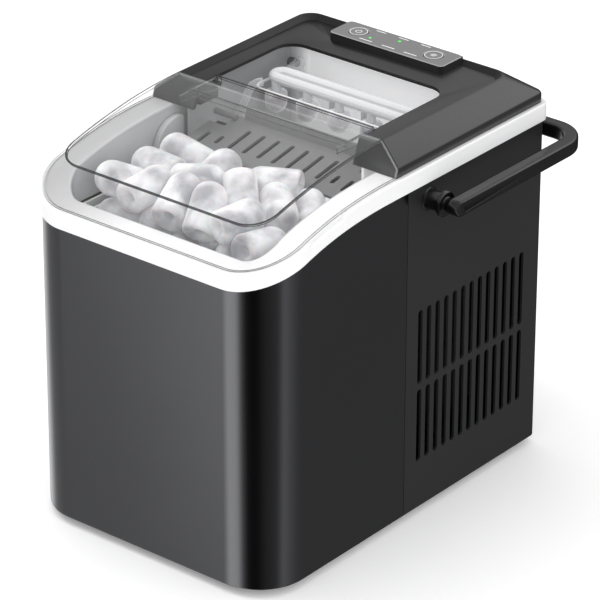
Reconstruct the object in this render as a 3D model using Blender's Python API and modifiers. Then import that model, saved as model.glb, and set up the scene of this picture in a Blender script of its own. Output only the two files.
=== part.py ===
"""Countertop bullet-ice maker, modelled as the pieces it comes apart into on a bench.

Lengths are in millimetres inside this file and become metres where a mesh is made.
The design frame has its origin at the middle of the body's bottom edge. The front faces -Y, +Z is up.
An empty then lifts the whole machine onto its feet and centres its outline on the world origin.
"""
import math

import bmesh
import bpy
from mathutils import Matrix, Vector

MM = 0.001
GAP = 0.3                    # air between pieces that rest against each other

# body
BODY_WIDTH = 222.0
BODY_DEPTH = 312.6
SHELL_WALL = 1.8
FRONT_RADIUS = 38.6          # plan radius of the two front corners
REAR_RADIUS = 6.0
SEAM_FROM_FRONT = 152.3      # front edge of the body to the seam between shell and housing
FOOT_HEIGHT = 6.0
FOOT_RADIUS = 10.0
FOOT_INSET = 30.0

# collar: the light band under the lid and the cover
RIM_HEIGHT = 269.5           # collar's top at the back, above the body's bottom edge
RIM_DROP = 27.0              # how far the rim falls towards the front
RIM_LEVEL_LENGTH = 174.3     # level stretch of the rim, measured from the back
BAND_HEIGHT = 13.3
BAND_PROUD = 2.4
LEDGE_WIDTH = 23.0
LEDGE_THICK = 3.0

# top cover
COVER_RISE = 21.6            # cover's height above the collar
COVER_BAND = 7.1             # its upright part, below the chamfer
CHAMFER_RUN = 18.3
COVER_INSET = 1.0
COVER_WALL = 2.5
COVER_LENGTH = 171.5
COVER_LEAN = 8.0             # the front ends lean back by this much
RECESS_DEPTH = 3.6
RECESS_MARGIN = 5.1
OPENING_HALF_WIDTH = 72.0
OPENING_LENGTH = 108.0       # from the front of the cover to the opening's rear edge
OPENING_RADIUS = 15.0
CHAMFER_REAR_RUN = 17.3

# control panel
PANEL_WIDTH = 103.0
PANEL_DEPTH = 27.5
PANEL_RISE = 1.6             # island's top above the cover's rim
OVERLAY_THICK = 1.0
BUTTON_RADIUS = 7.2
BUTTON_SPACING = 68.0
BUTTON_TRAVEL = 0.8
BUTTON_HEIGHT = 2.4
SLIDING_CLEARANCE = 0.35
LIGHT_RADIUS = 2.0
LIGHT_COLUMNS = (-20.5, 0.0, 20.0)
LIGHT_ROW_HALF_GAP = 4.1

# lid
LID_WALL = 2.0
LID_SKIRT = 6.5              # upright part of its side
LID_FRONT_RUN = 15.5         # how far the front skirt slopes back
LID_FRONT_RISE = 28.5
LID_TOP_RADIUS = 20.0
LID_GAP = 0.9                # lid to cover, so the hinge can turn
HINGE_BEHIND = 18.0          # hinge axis behind the cover's top front edge
HINGE_BELOW = 9.4            # and below the cover's rim
HINGE_PIN_RADIUS = 1.8
TONGUE_CLEARANCE = 0.9
PIVOT_CLEARANCE = 0.3

# handle
HANDLE_WIDTH = 11.0
HANDLE_HEIGHT = 11.5
HANDLE_STANDOFF = 18.0       # body's side to the arm's inner face
HANDLE_PIVOT_FROM_REAR = 136.3
HANDLE_PIVOT_HEIGHT = 242.5
HANDLE_REAR_CLEAR = 7.7      # body's back to the bar's inner face
HANDLE_CORNER = 28.0
PIVOT_NECK_RADIUS = 3.0

# vents
VENT_COLUMNS = 13
VENT_PITCH = 9.9
VENT_WIDTH = 5.2
VENT_LENGTHS = (57.6, 58.2)
VENT_BASE = 38.6
VENT_ROW_GAP = 4.5
VENT_FROM_SEAM = 16.6

# inside
TUB_WALL = 2.0
TUB_FLOOR_HEIGHT = 75.0
TUB_TOP_HEIGHT = 229.0
TUB_REAR_WALL_HEIGHT = 196.0
TUB_LENGTH = 122.0
BAY_HALF_WIDTH = 77.5
BAY_LENGTH = 119.5
BAY_FLOOR_HEIGHT = 198.0
FOAM_THICK = 12.0
BASKET_CLEARANCE = 5.0
BASKET_WALL = 2.2
BASKET_HEIGHT = 103.0
BASKET_BEHIND = 12.0         # room behind the basket for the pump's hose
BASKET_SLOTS = 7
BASKET_SLOT_PITCH = 20.0
BASKET_SLOT_WIDTH = 5.0

# ice making
FINGER_COUNT_FRONT = 5
FINGER_PITCH = 29.0
FINGER_RADIUS = 3.4
FINGER_LENGTH = 27.0
FINGER_ROW_GAP = 12.0
EVAPORATOR_TUBE_RADIUS = 4.0
TUBE_STICK_OUT = 3.6         # past the bay's inner wall
TRAY_WIDTH = 33.0            # front rim to rear rim
TRAY_DEPTH = 46.0
TRAY_WALL = 1.8
TRAY_HALF_LENGTH = 70.0
TRAY_FRONT_FROM_AXIS = 52.0  # front rim to the tilt axis
TRAY_AXIS_FROM_BAY_REAR = 8.0
TRAY_RIM_BELOW_COVER = 23.4
SHOVEL_LENGTH = 49.0
SHOVEL_SLOPE = 10.0          # degrees
SHOVEL_THICK = 2.0
SHOVEL_LIP = 9.0
SHOVEL_SLOTS = 7
SHOVEL_PITCH = 13.2
SHOVEL_SLOT_LENGTH = 25.0
SHOVEL_SLOT_WIDTH = 3.6

# machinery
COMPRESSOR_RADIUS = 44.0
COMPRESSOR_HEIGHT = 138.0
FAN_RADIUS = 40.0
COMPRESSOR_X = 44.0
COMPRESSOR_FROM_REAR = 64.0
COMPRESSOR_BASE = 26.0
FAN_FROM_REAR = 76.0
FAN_BLADES = 5
FAN_Z = 96.0
CONDENSER_FINS = 12
CONDENSER_THICK = 16.0
CONDENSER_HALF = 54.0        # half its height, and nearly half its length
CONDENSER_FROM_SIDE = 9.0
SHROUD_BEHIND_FINS = 6.0
PIPE_RADIUS = 3.0

# fittings
GLAND_X = -72.0
GLAND_Z = 32.0
GLAND_RADIUS = 6.0
DRAIN_X = 62.0
DRAIN_FROM_FRONT = 55.0
DRAIN_RADIUS = 6.0
TRAY_PIN_RADIUS = 3.0
SHOVEL_PIN_RADIUS = 2.2
SHOVEL_AHEAD_OF_TRAY = 26.0
SHOVEL_BELOW_TRAY = 12.0

# positions that follow from the sizes above
HALF_W = BODY_WIDTH / 2
FRONT = -BODY_DEPTH / 2
REAR = BODY_DEPTH / 2
SEAM = FRONT + SEAM_FROM_FRONT
RIM_FALL_START = REAR - RIM_LEVEL_LENGTH
BAND_BOTTOM = RIM_HEIGHT - BAND_HEIGHT
COVER_BOTTOM = RIM_HEIGHT + GAP
COVER_TOP = RIM_HEIGHT + COVER_RISE + GAP
COVER_HALF_W = HALF_W - COVER_INSET
COVER_REAR = REAR - COVER_INSET
COVER_FRONT = COVER_REAR - COVER_LENGTH
RECESS_FLOOR = COVER_TOP - RECESS_DEPTH
RIM_HALF_W = COVER_HALF_W - CHAMFER_RUN
RIM_REAR = COVER_REAR - CHAMFER_REAR_RUN
TOP_FRONT = COVER_FRONT + COVER_LEAN
OPENING_REAR = COVER_FRONT + OPENING_LENGTH
HINGE_Y = TOP_FRONT + HINGE_BEHIND
HINGE_Z = COVER_TOP - HINGE_BELOW
PANEL_TOP = COVER_TOP + PANEL_RISE
PANEL_FRONT = RIM_REAR - PANEL_DEPTH
PANEL_MID = (PANEL_FRONT + RIM_REAR) / 2
TUB_HALF_W = HALF_W - LEDGE_WIDTH
TUB_FRONT = FRONT + LEDGE_WIDTH
TUB_REAR = TUB_FRONT + TUB_LENGTH
BAY_FRONT = TUB_REAR - TUB_WALL
BAY_REAR = BAY_FRONT + BAY_LENGTH
TRAY_RIM = COVER_TOP - TRAY_RIM_BELOW_COVER
TRAY_AXIS_Y = BAY_REAR - TRAY_AXIS_FROM_BAY_REAR
TRAY_FRONT = TRAY_AXIS_Y - TRAY_FRONT_FROM_AXIS
FINGER_ROW_FRONT = TRAY_FRONT + TRAY_WALL + 7.8 + FINGER_RADIUS
TUBE_Z = TRAY_RIM + EVAPORATOR_TUBE_RADIUS + 1.0
HANDLE_INNER = HALF_W + HANDLE_STANDOFF
HANDLE_OUTER = HANDLE_INNER + HANDLE_WIDTH
HANDLE_PIVOT_Y = REAR - HANDLE_PIVOT_FROM_REAR
HANDLE_REAR = REAR + HANDLE_REAR_CLEAR + HANDLE_WIDTH
CENTRE_SHIFT = (-(FRONT - BAND_PROUD) - HANDLE_REAR) / 2
DRAIN_Y = FRONT + DRAIN_FROM_FRONT
SHOVEL_REAR_Y = TRAY_FRONT - SHOVEL_AHEAD_OF_TRAY
SHOVEL_REAR_Z = TRAY_RIM - SHOVEL_BELOW_TRAY
SHOVEL_AXIS_Y = SHOVEL_REAR_Y - 5.0
SHOVEL_AXIS_Z = SHOVEL_REAR_Z + 1.0
EVAPORATOR_ROWS = (FINGER_ROW_FRONT, FINGER_ROW_FRONT + FINGER_ROW_GAP)
COMPRESSOR_Y = REAR - SHELL_WALL - COMPRESSOR_FROM_REAR
FAN_Y = REAR - SHELL_WALL - FAN_FROM_REAR
CONDENSER_X = -HALF_W + SHELL_WALL + CONDENSER_FROM_SIDE
SHROUD_X = CONDENSER_X + CONDENSER_THICK + SHROUD_BEHIND_FINS

for old in list(bpy.data.objects):
    bpy.data.objects.remove(old, do_unlink=True)

parts = bpy.data.collections.new("ice_maker")
cutters = bpy.data.collections.new("cutters")
bpy.context.scene.collection.children.link(parts)
bpy.context.scene.collection.children.link(cutters)


def material(name, color, roughness, metallic=0.0, alpha=1.0):
    mat = bpy.data.materials.new(name)
    mat.use_nodes = True
    shader = mat.node_tree.nodes["Principled BSDF"]
    shader.inputs["Base Color"].default_value = (*color, 1.0)
    shader.inputs["Roughness"].default_value = roughness
    shader.inputs["Metallic"].default_value = metallic
    shader.inputs["Alpha"].default_value = alpha
    return mat


CHARCOAL = material("charcoal_shell", (0.045, 0.045, 0.048), 0.32, 0.6)
BLACK = material("black_plastic", (0.02, 0.02, 0.021), 0.38)
WHITE = material("white_plastic", (0.86, 0.87, 0.88), 0.35)
CLEAR = material("clear_plastic", (0.9, 0.92, 0.93), 0.05, 0.0, 0.35)
LINER = material("liner_plastic", (0.72, 0.73, 0.74), 0.4)
GREY = material("grey_plastic", (0.38, 0.39, 0.4), 0.45)
PANEL_GREY = material("panel_grey", (0.27, 0.27, 0.28), 0.4)
GREEN = material("green_light", (0.05, 0.8, 0.12), 0.3)
RUBBER = material("rubber", (0.03, 0.03, 0.03), 0.85)
STEEL = material("steel", (0.62, 0.62, 0.63), 0.28, 1.0)
COPPER = material("copper", (0.72, 0.4, 0.24), 0.3, 1.0)
ALUMINIUM = material("aluminium", (0.72, 0.73, 0.74), 0.4, 1.0)
FOAM = material("foam", (0.85, 0.82, 0.7), 0.9)
BOARD = material("circuit_board", (0.02, 0.2, 0.09), 0.5)
ENAMEL = material("black_enamel", (0.015, 0.015, 0.016), 0.45)


root = bpy.data.objects.new("machine_on_its_feet", None)
parts.objects.link(root)
root.location = Vector((0.0, CENTRE_SHIFT, FOOT_HEIGHT)) * MM


def add(name, bm, mat=None, origin=(0.0, 0.0, 0.0), collection=parts, smooth=35.0):
    """Makes an object from a bmesh drawn in millimetres in the design frame, with its origin where asked."""
    bmesh.ops.recalc_face_normals(bm, faces=bm.faces)
    bmesh.ops.translate(bm, vec=-Vector(origin), verts=bm.verts)
    bmesh.ops.scale(bm, vec=(MM, MM, MM), verts=bm.verts)
    mesh = bpy.data.meshes.new(name)
    bm.to_mesh(mesh)
    bm.free()
    mesh.shade_smooth()
    mesh.set_sharp_from_angle(angle=math.radians(smooth))
    obj = bpy.data.objects.new(name, mesh)
    collection.objects.link(obj)
    obj.parent = root
    obj.location = Vector(origin) * MM
    if mat:
        mesh.materials.append(mat)
    if collection is cutters:
        obj.hide_render = True
        obj.display_type = "WIRE"
    return obj


def bevel(obj, width, segments=1, angle=40.0):
    mod = obj.modifiers.new("rounded edges", "BEVEL")
    mod.width = width * MM
    mod.segments = segments
    mod.limit_method = "ANGLE"
    mod.angle_limit = math.radians(angle)
    return obj


def combine(obj, other, operation):
    """Cuts the other object from obj, or joins it on, with an exact Boolean."""
    mod = obj.modifiers.new(f"{operation.lower()} {other.name}", "BOOLEAN")
    mod.object = other
    mod.operation = operation
    mod.solver = "EXACT"
    return obj


def cut(obj, *tools):
    for tool in tools:
        combine(obj, tool, "DIFFERENCE")
    return obj


def join(obj, *tools):
    for tool in tools:
        combine(obj, tool, "UNION")
    return obj


def box(low, high):
    bm = bmesh.new()
    bmesh.ops.create_cube(bm, size=1.0)
    size = Vector(high) - Vector(low)
    bmesh.ops.scale(bm, vec=size, verts=bm.verts)
    bmesh.ops.translate(bm, vec=(Vector(high) + Vector(low)) / 2, verts=bm.verts)
    return bm


def rod(start, end, radius, segments=20, end_radius=None):
    """A cylinder, or a cone, between two points."""
    bm = bmesh.new()
    start, end = Vector(start), Vector(end)
    along = end - start
    tip = radius if end_radius is None else end_radius
    bmesh.ops.create_cone(bm, cap_ends=True, segments=segments, radius1=radius, radius2=tip,
                          depth=along.length)
    turn = along.to_track_quat("Z", "Y").to_matrix().to_4x4()
    bmesh.ops.transform(bm, matrix=Matrix.Translation((start + end) / 2) @ turn, verts=bm.verts)
    return bm


def rounded_outline(x0, x1, y0, y1, radii, steps=5):
    """A closed rectangle outline. radii are for the corners (x0, y0), (x1, y0), (x1, y1), (x0, y1)."""
    corners = ((x0, y0, 1, 1, 180), (x1, y0, -1, 1, 270), (x1, y1, -1, -1, 0), (x0, y1, 1, -1, 90))
    points = []
    for (x, y, sx, sy, first), r in zip(corners, radii):
        if r <= 0:
            points.append((x, y))
            continue
        for i in range(steps + 1):
            a = math.radians(first + 90.0 * i / steps)
            points.append((x + sx * r + r * math.cos(a), y + sy * r + r * math.sin(a)))
    return points


def ring_loft(rings, closed=True, cap=True):
    """Joins rings of equally many points with quads. Closed rings are capped at both ends."""
    bm = bmesh.new()
    rows = [[bm.verts.new(p) for p in ring] for ring in rings]
    count = len(rows[0])
    for low, high in zip(rows, rows[1:]):
        for i in range(count if closed else count - 1):
            j = (i + 1) % count
            bm.faces.new((low[i], low[j], high[j], high[i]))
    if closed and cap:
        bm.faces.new(rows[0][::-1])
        bm.faces.new(rows[-1])
    return bm


def extruded(corners, travel):
    """A flat face through the corners, extruded along a vector into a closed solid."""
    bm = bmesh.new()
    face = bm.faces.new([bm.verts.new(p) for p in corners])
    raised = bmesh.ops.extrude_face_region(bm, geom=[face], use_keep_orig=True)["geom"]
    bmesh.ops.translate(bm, vec=travel, verts=[g for g in raised if isinstance(g, bmesh.types.BMVert)])
    return bm


def prism(outline, z0, z1):
    return extruded([(x, y, z0) for x, y in outline], (0, 0, z1 - z0))


def side_prism(outline, x0, x1):
    """A prism along X whose outline is drawn in the YZ plane."""
    return extruded([(x0, y, z) for y, z in outline], (x1 - x0, 0, 0))


def swept(line, section):
    """A level bar: a section of (outwards, upwards) pairs at each (point, outward direction)."""
    rings = []
    for (x, y, z), (nx, ny) in line:
        rings.append([(x + nx * a, y + ny * a, z + b) for a, b in section])
    return ring_loft(rings)


def merged(pieces):
    """Several closed shapes that don't touch, as one cutter."""
    whole = bmesh.new()
    for piece in pieces:
        bmesh.ops.recalc_face_normals(piece, faces=piece.faces)
        spare = bpy.data.meshes.new("spare")
        piece.to_mesh(spare)
        piece.free()
        whole.from_mesh(spare)
        bpy.data.meshes.remove(spare)
    return whole


AXIS_TURNS = {"Z": Matrix(), "X": Matrix.Rotation(math.pi / 2, 4, "Y"),
              "Y": Matrix.Rotation(-math.pi / 2, 4, "X")}


def turned(profile, centre, axis="Z", segments=24):
    """A solid of revolution. profile is (radius, along axis) pairs, spun a full turn."""
    bm = bmesh.new()
    line = [bm.verts.new((r, 0, h)) for r, h in profile]
    edges = [bm.edges.new(pair) for pair in zip(line, line[1:])]
    bmesh.ops.spin(bm, geom=line + edges, cent=(0, 0, 0), axis=(0, 0, 1), angle=2 * math.pi, steps=segments)
    bmesh.ops.remove_doubles(bm, verts=bm.verts, dist=0.001)
    bmesh.ops.transform(bm, matrix=Matrix.Translation(centre) @ AXIS_TURNS[axis], verts=bm.verts)
    return bm


def pipe(name, points, radius, mat, resolution=2, spacing=None):
    """A capped tube along a smooth curve through the points."""
    knots = [Vector(p) for p in points]
    step = spacing or radius * 3
    smooth = []
    for i in range(len(knots) - 1):
        before = knots[max(i - 1, 0)]
        after = knots[min(i + 2, len(knots) - 1)]
        a, b = knots[i], knots[i + 1]
        count = max(2, int((b - a).length / step))
        for k in range(count):
            t = k / count
            tangent_a, tangent_b = (b - before) / 2, (after - a) / 2
            h = (2 * t**3 - 3 * t**2 + 1, t**3 - 2 * t**2 + t, -2 * t**3 + 3 * t**2, t**3 - t**2)
            smooth.append(a * h[0] + tangent_a * h[1] + b * h[2] + tangent_b * h[3])
    smooth.append(knots[-1])
    curve = bpy.data.curves.new(name, "CURVE")
    curve.dimensions = "3D"
    curve.bevel_depth = radius * MM
    curve.bevel_resolution = resolution
    curve.use_fill_caps = True
    spline = curve.splines.new("POLY")
    spline.points.add(len(smooth) - 1)
    for point, co in zip(spline.points, smooth):
        point.co = (*(co * MM), 1.0)
    curve.materials.append(mat)
    obj = bpy.data.objects.new(name, curve)
    parts.objects.link(obj)
    obj.parent = root
    return obj


def rim_z(y):
    """Height of the collar's top edge: level at the back, then falling ever faster to the front."""
    share = max(0.0, (RIM_FALL_START - y) / (RIM_FALL_START - FRONT))
    return RIM_HEIGHT - RIM_DROP * min(share, 1.02) ** 2.35


def band_z(y):
    """Height of the band's lower edge, which is also the top of the shells."""
    share = max(0.0, (RIM_FALL_START - y) / (RIM_FALL_START - FRONT))
    return BAND_BOTTOM - RIM_DROP * min(share, 1.02) ** 2.55


def lid_top_z(y):
    """Height of the lid's top panel."""
    front = FRONT + LID_FRONT_RUN
    share = max(0.0, (TOP_FRONT - y) / (TOP_FRONT - front))
    drop = COVER_TOP - (rim_z(FRONT) + LID_FRONT_RISE)
    return COVER_TOP - drop * min(share, 1.0) ** 1.9


def body_path(inset, y_back, side_steps=14, corner_steps=7, front=FRONT, radius=FRONT_RADIUS, half_w=HALF_W):
    """The front half's plan line: from back left, round the front, to back right."""
    half = half_w - inset
    edge = front + inset
    r = max(radius - inset, 0.5)
    left = []
    for i in range(side_steps):
        left.append((-half, y_back + (edge + r - y_back) * i / side_steps))
    for i in range(corner_steps + 1):
        a = math.pi + math.pi / 2 * i / corner_steps
        left.append((-half + r + r * math.cos(a), edge + r + r * math.sin(a)))
    return left + [(-x, y) for x, y in reversed(left)]


def rear_path(inset, y_front, corner_steps=3):
    """The rear half's plan line: from front right, round the back, to front left."""
    half = HALF_W - inset
    edge = REAR - inset
    r = max(REAR_RADIUS - inset, 0.5)
    right = [(half, y_front)]
    for i in range(corner_steps + 1):
        a = math.pi / 2 * i / corner_steps
        right.append((half - r + r * math.cos(a), edge - r + r * math.sin(a)))
    return right + [(-x, y) for x, y in reversed(right)]


def shell(name, path, top, mat):
    """An upright wall along an open plan line, its bottom edge eased, with its thickness inwards."""
    ease = 0.8
    rings = [[(x, y, 0.0) for x, y in path(ease)]]
    rings.append([(x, y, ease) for x, y in path(0.0)])
    rings.append([(x, y, top(y) - GAP) for x, y in path(0.0)])
    bm = ring_loft(rings, closed=False)
    obj = add(name, bm, mat)
    wall = obj.modifiers.new("wall", "SOLIDIFY")
    wall.thickness = SHELL_WALL * MM
    wall.offset = -1.0
    wall.use_even_offset = True
    return obj


# ---------------------------------------------------------------- outer shells
def make_front_shell():
    shell("front_shell", lambda inset: body_path(inset, SEAM), band_z, CHARCOAL)


def slot_outline(middle, start, length, width):
    """An upright slot with round ends, in the YZ plane."""
    half = width / 2
    outline = []
    for centre, first in ((start + half, 180), (start + length - half, 0)):
        for i in range(5):
            a = math.radians(first + 45 * i)
            outline.append((middle + half * math.cos(a), centre + half * math.sin(a)))
    return outline


def make_rear_housing():
    housing = shell("rear_housing", lambda inset: rear_path(inset, SEAM + GAP * 2), band_z, CHARCOAL)
    slots = []
    base = VENT_BASE
    for length in VENT_LENGTHS:
        for column in range(VENT_COLUMNS):
            y = SEAM + VENT_FROM_SEAM + column * VENT_PITCH
            slots.append(side_prism(slot_outline(y, base, length, VENT_WIDTH), -HALF_W - 5, HALF_W + 5))
        base += length + VENT_ROW_GAP
    cut(housing, add("vent_cutter", merged(slots), collection=cutters))
    gland_hole = rod((GLAND_X, REAR - 10, GLAND_Z), (GLAND_X, REAR + 10, GLAND_Z), GLAND_RADIUS + GAP)
    cut(housing, add("gland_hole", gland_hole, collection=cutters))


def make_cord_gland():
    """A rubber grommet with a flange outside and an open bore for the cord."""
    r, bore, flange, depth, proud = GLAND_RADIUS, 3.6, 3.5, 8.0, 5.4
    profile = [(bore, -depth), (r, -depth), (r, GAP), (r + flange, GAP), (r + flange - 0.5, proud * 0.6),
               (r - 0.8, proud), (bore, proud), (bore, -depth)]
    add("cord_gland", turned(profile, (GLAND_X, REAR, GLAND_Z), "Y", 20), RUBBER)


def make_base_tray():
    """The pan that the shells stand round and the machinery is screwed to."""
    inset, wall, floor, height = SHELL_WALL + 1.2, 3.0, 3.0, 16.0

    def outline(from_side):
        front = body_path(from_side, 0.0, side_steps=1, corner_steps=6)
        return front + rear_path(from_side, 0.0)[1:-1]

    pan = add("base_tray", prism(outline(inset), 0.0, height), BLACK)
    cut(pan, add("base_hollow", prism(outline(inset + wall), floor, height + 4), collection=cutters))
    hole = rod((DRAIN_X, DRAIN_Y, -5), (DRAIN_X, DRAIN_Y, 10), DRAIN_RADIUS + GAP, 16)
    cut(pan, add("drain_hole", hole, collection=cutters))


def make_drain_plug():
    r, head, below, above = DRAIN_RADIUS, 2.6, 4.2, 10.0
    profile = [(0, -below), (r + head - 0.6, -below), (r + head, 0.8 - below), (r + head, -GAP), (r, -GAP),
               (r, above - 1), (r - 1, above), (0, above)]
    add("drain_plug", turned(profile, (DRAIN_X, DRAIN_Y, 0), "Z", 20), RUBBER)


def make_feet():
    r, h = FOOT_RADIUS, FOOT_HEIGHT
    profile = [(0, -h), (r - 1.5, -h), (r - 0.5, 1 - h), (r, -GAP), (0, -GAP)]
    places = {"front_left": (-1, -1), "front_right": (1, -1), "rear_left": (-1, 1), "rear_right": (1, 1)}
    for label, (sx, sy) in places.items():
        centre = (sx * (HALF_W - FOOT_INSET), sy * (REAR - FOOT_INSET), 0)
        add(f"foot_{label}", turned(profile, centre, "Z", 20), RUBBER)


# ---------------------------------------------------------------- collar
def make_collar():
    """A ring: the proud band outside, the ledge inside, and an apron down to the tub."""
    apron_bottom = TUB_TOP_HEIGHT + GAP
    groove = 1.0

    def plan(inset):
        return body_path(inset, SEAM) + rear_path(inset, SEAM)[1:-1]

    def level(inset, z_of, lip=0.0):
        return [(x, y, z_of(edge_y) + lip) for (x, y), (_, edge_y) in zip(plan(inset), plan(0.0))]

    rings = [
        level(-BAND_PROUD + 0.5, band_z),
        level(-BAND_PROUD, band_z, 0.5),
        level(-BAND_PROUD, rim_z, -0.7),
        level(-BAND_PROUD + 0.7, rim_z),
        level(groove, rim_z),
        level(LEDGE_WIDTH - TUB_WALL - GAP, rim_z),
        level(LEDGE_WIDTH - TUB_WALL - GAP, lambda y: apron_bottom),
        level(LEDGE_WIDTH - TUB_WALL - GAP - LEDGE_THICK * 0.7, lambda y: apron_bottom),
        level(LEDGE_WIDTH - TUB_WALL - GAP - LEDGE_THICK * 0.7, rim_z, -LEDGE_THICK),
        level(LEDGE_THICK * 0.3, rim_z, -LEDGE_THICK),
        level(LEDGE_THICK * 0.3, band_z),
    ]
    bm = ring_loft(rings + [rings[0]], cap=False)
    bmesh.ops.remove_doubles(bm, verts=bm.verts, dist=0.001)
    collar = add("collar", bm, WHITE)
    room = box((-HALF_W + 8, TRAY_AXIS_Y - 24, apron_bottom - 5),
               (-BAY_HALF_WIDTH, TRAY_AXIS_Y + 28, RIM_HEIGHT + 5))
    cut(collar, add("motor_room", room, collection=cutters))


# ---------------------------------------------------------------- top cover and panel
def cover_ring(z, half, y_front, y_rear, rear_radius):
    outline = rounded_outline(-half, half, y_front, y_rear, (0, 0, rear_radius, rear_radius))
    return [(x, y, z) for x, y in outline]


def make_top_cover():
    def front_at(z, inset=0.0):
        share = (z - COVER_BOTTOM) / (COVER_TOP - COVER_BOTTOM)
        return COVER_FRONT + COVER_LEAN * share + inset

    shoulder = COVER_BOTTOM + COVER_BAND
    ridge = 0.4
    bm = ring_loft([
        cover_ring(COVER_BOTTOM, COVER_HALF_W, front_at(COVER_BOTTOM), COVER_REAR, REAR_RADIUS),
        cover_ring(shoulder - 0.6, COVER_HALF_W, front_at(shoulder - 0.6), COVER_REAR, REAR_RADIUS),
        cover_ring(shoulder, COVER_HALF_W - 0.4, front_at(shoulder), COVER_REAR - 0.4, REAR_RADIUS),
        cover_ring(COVER_TOP, RIM_HALF_W, front_at(COVER_TOP), RIM_REAR, 12.0),
    ])
    obj = add("top_cover", bm, BLACK)

    wall = COVER_WALL
    ceiling = RECESS_FLOOR - wall
    share = (ceiling - shoulder) / (COVER_TOP - shoulder)
    slant = math.hypot(CHAMFER_RUN, COVER_TOP - shoulder) / (COVER_TOP - shoulder) * wall
    slant_rear = math.hypot(CHAMFER_REAR_RUN, COVER_TOP - shoulder) / (COVER_TOP - shoulder) * wall
    upper_half = COVER_HALF_W - CHAMFER_RUN * share - slant
    upper_rear = COVER_REAR - CHAMFER_REAR_RUN * share - slant_rear
    front_wall = wall + 0.5
    hollow = ring_loft([
        cover_ring(COVER_BOTTOM - 5, COVER_HALF_W - wall, front_at(COVER_BOTTOM, front_wall),
                   COVER_REAR - wall, 4.0),
        cover_ring(shoulder - 1, COVER_HALF_W - wall, front_at(shoulder - 1, front_wall),
                   COVER_REAR - wall, 4.0),
        cover_ring(ceiling, upper_half, front_at(ceiling, front_wall), upper_rear, 8.0),
    ])
    above = 1.0
    flare = (RECESS_DEPTH + above) * (RECESS_MARGIN - ridge) / RECESS_DEPTH
    ahead = COVER_FRONT - 20
    recess = ring_loft([
        cover_ring(RECESS_FLOOR, RIM_HALF_W - RECESS_MARGIN, ahead, RIM_REAR - RECESS_MARGIN, 9.0),
        cover_ring(COVER_TOP + above, RIM_HALF_W - RECESS_MARGIN + flare, ahead,
                   RIM_REAR - RECESS_MARGIN + flare, 12.0),
    ])
    opening = rounded_outline(-OPENING_HALF_WIDTH, OPENING_HALF_WIDTH, ahead, OPENING_REAR,
                              (0, 0, OPENING_RADIUS, OPENING_RADIUS), 6)
    window = prism(opening, COVER_BOTTOM - 10, COVER_TOP + 10)
    cut(obj, add("cover_hollow", hollow, collection=cutters))
    cut(obj, add("cover_recess", recess, collection=cutters))
    cut(obj, add("cover_window", window, collection=cutters))

    half = PANEL_WIDTH / 2
    island_base = RECESS_FLOOR - wall / 2
    outline = rounded_outline(-half, half, PANEL_FRONT, RIM_REAR, (4, 4, 3, 3), 3)
    island = add("panel_island", prism(outline, island_base, PANEL_TOP), collection=cutters)
    join(obj, island)
    well_depth = BUTTON_HEIGHT + BUTTON_TRAVEL - OVERLAY_THICK + GAP
    for side in (-1, 1):
        x = side * BUTTON_SPACING / 2
        well = rod((x, PANEL_MID, PANEL_TOP - well_depth), (x, PANEL_MID, PANEL_TOP + 3),
                   BUTTON_RADIUS + SLIDING_CLEARANCE, 28)
        cut(obj, add(f"button_well_{side + 1}", well, collection=cutters))


def make_hinge_blocks():
    """The blocks under the cover's two arms carry the stub pins that the lid turns on."""
    inner = OPENING_HALF_WIDTH + 2.7
    outer = inner + 12.0
    rear = HINGE_Y + 5.0
    front = HINGE_Y - 28.0
    top = RECESS_FLOOR - COVER_WALL - GAP
    for label, side in (("left", -1), ("right", 1)):
        xs = sorted((side * inner, side * outer))
        front_clear = TOP_FRONT + COVER_WALL + 0.8
        body = box((xs[0], max(front, front_clear), top - 16.0), (xs[1], rear, top))
        block = add(f"hinge_block_{label}", body, BLACK)
        pin = rod((side * (inner + 4), HINGE_Y, HINGE_Z), (side * (inner - 5.6), HINGE_Y, HINGE_Z),
                  HINGE_PIN_RADIUS, 16)
        join(block, add(f"hinge_stub_{label}", pin, collection=cutters))


LIGHT_NAMES = (("run", "ice_small"), ("water_low", "ice_medium"), ("ice_full", "ice_large"))


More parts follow.
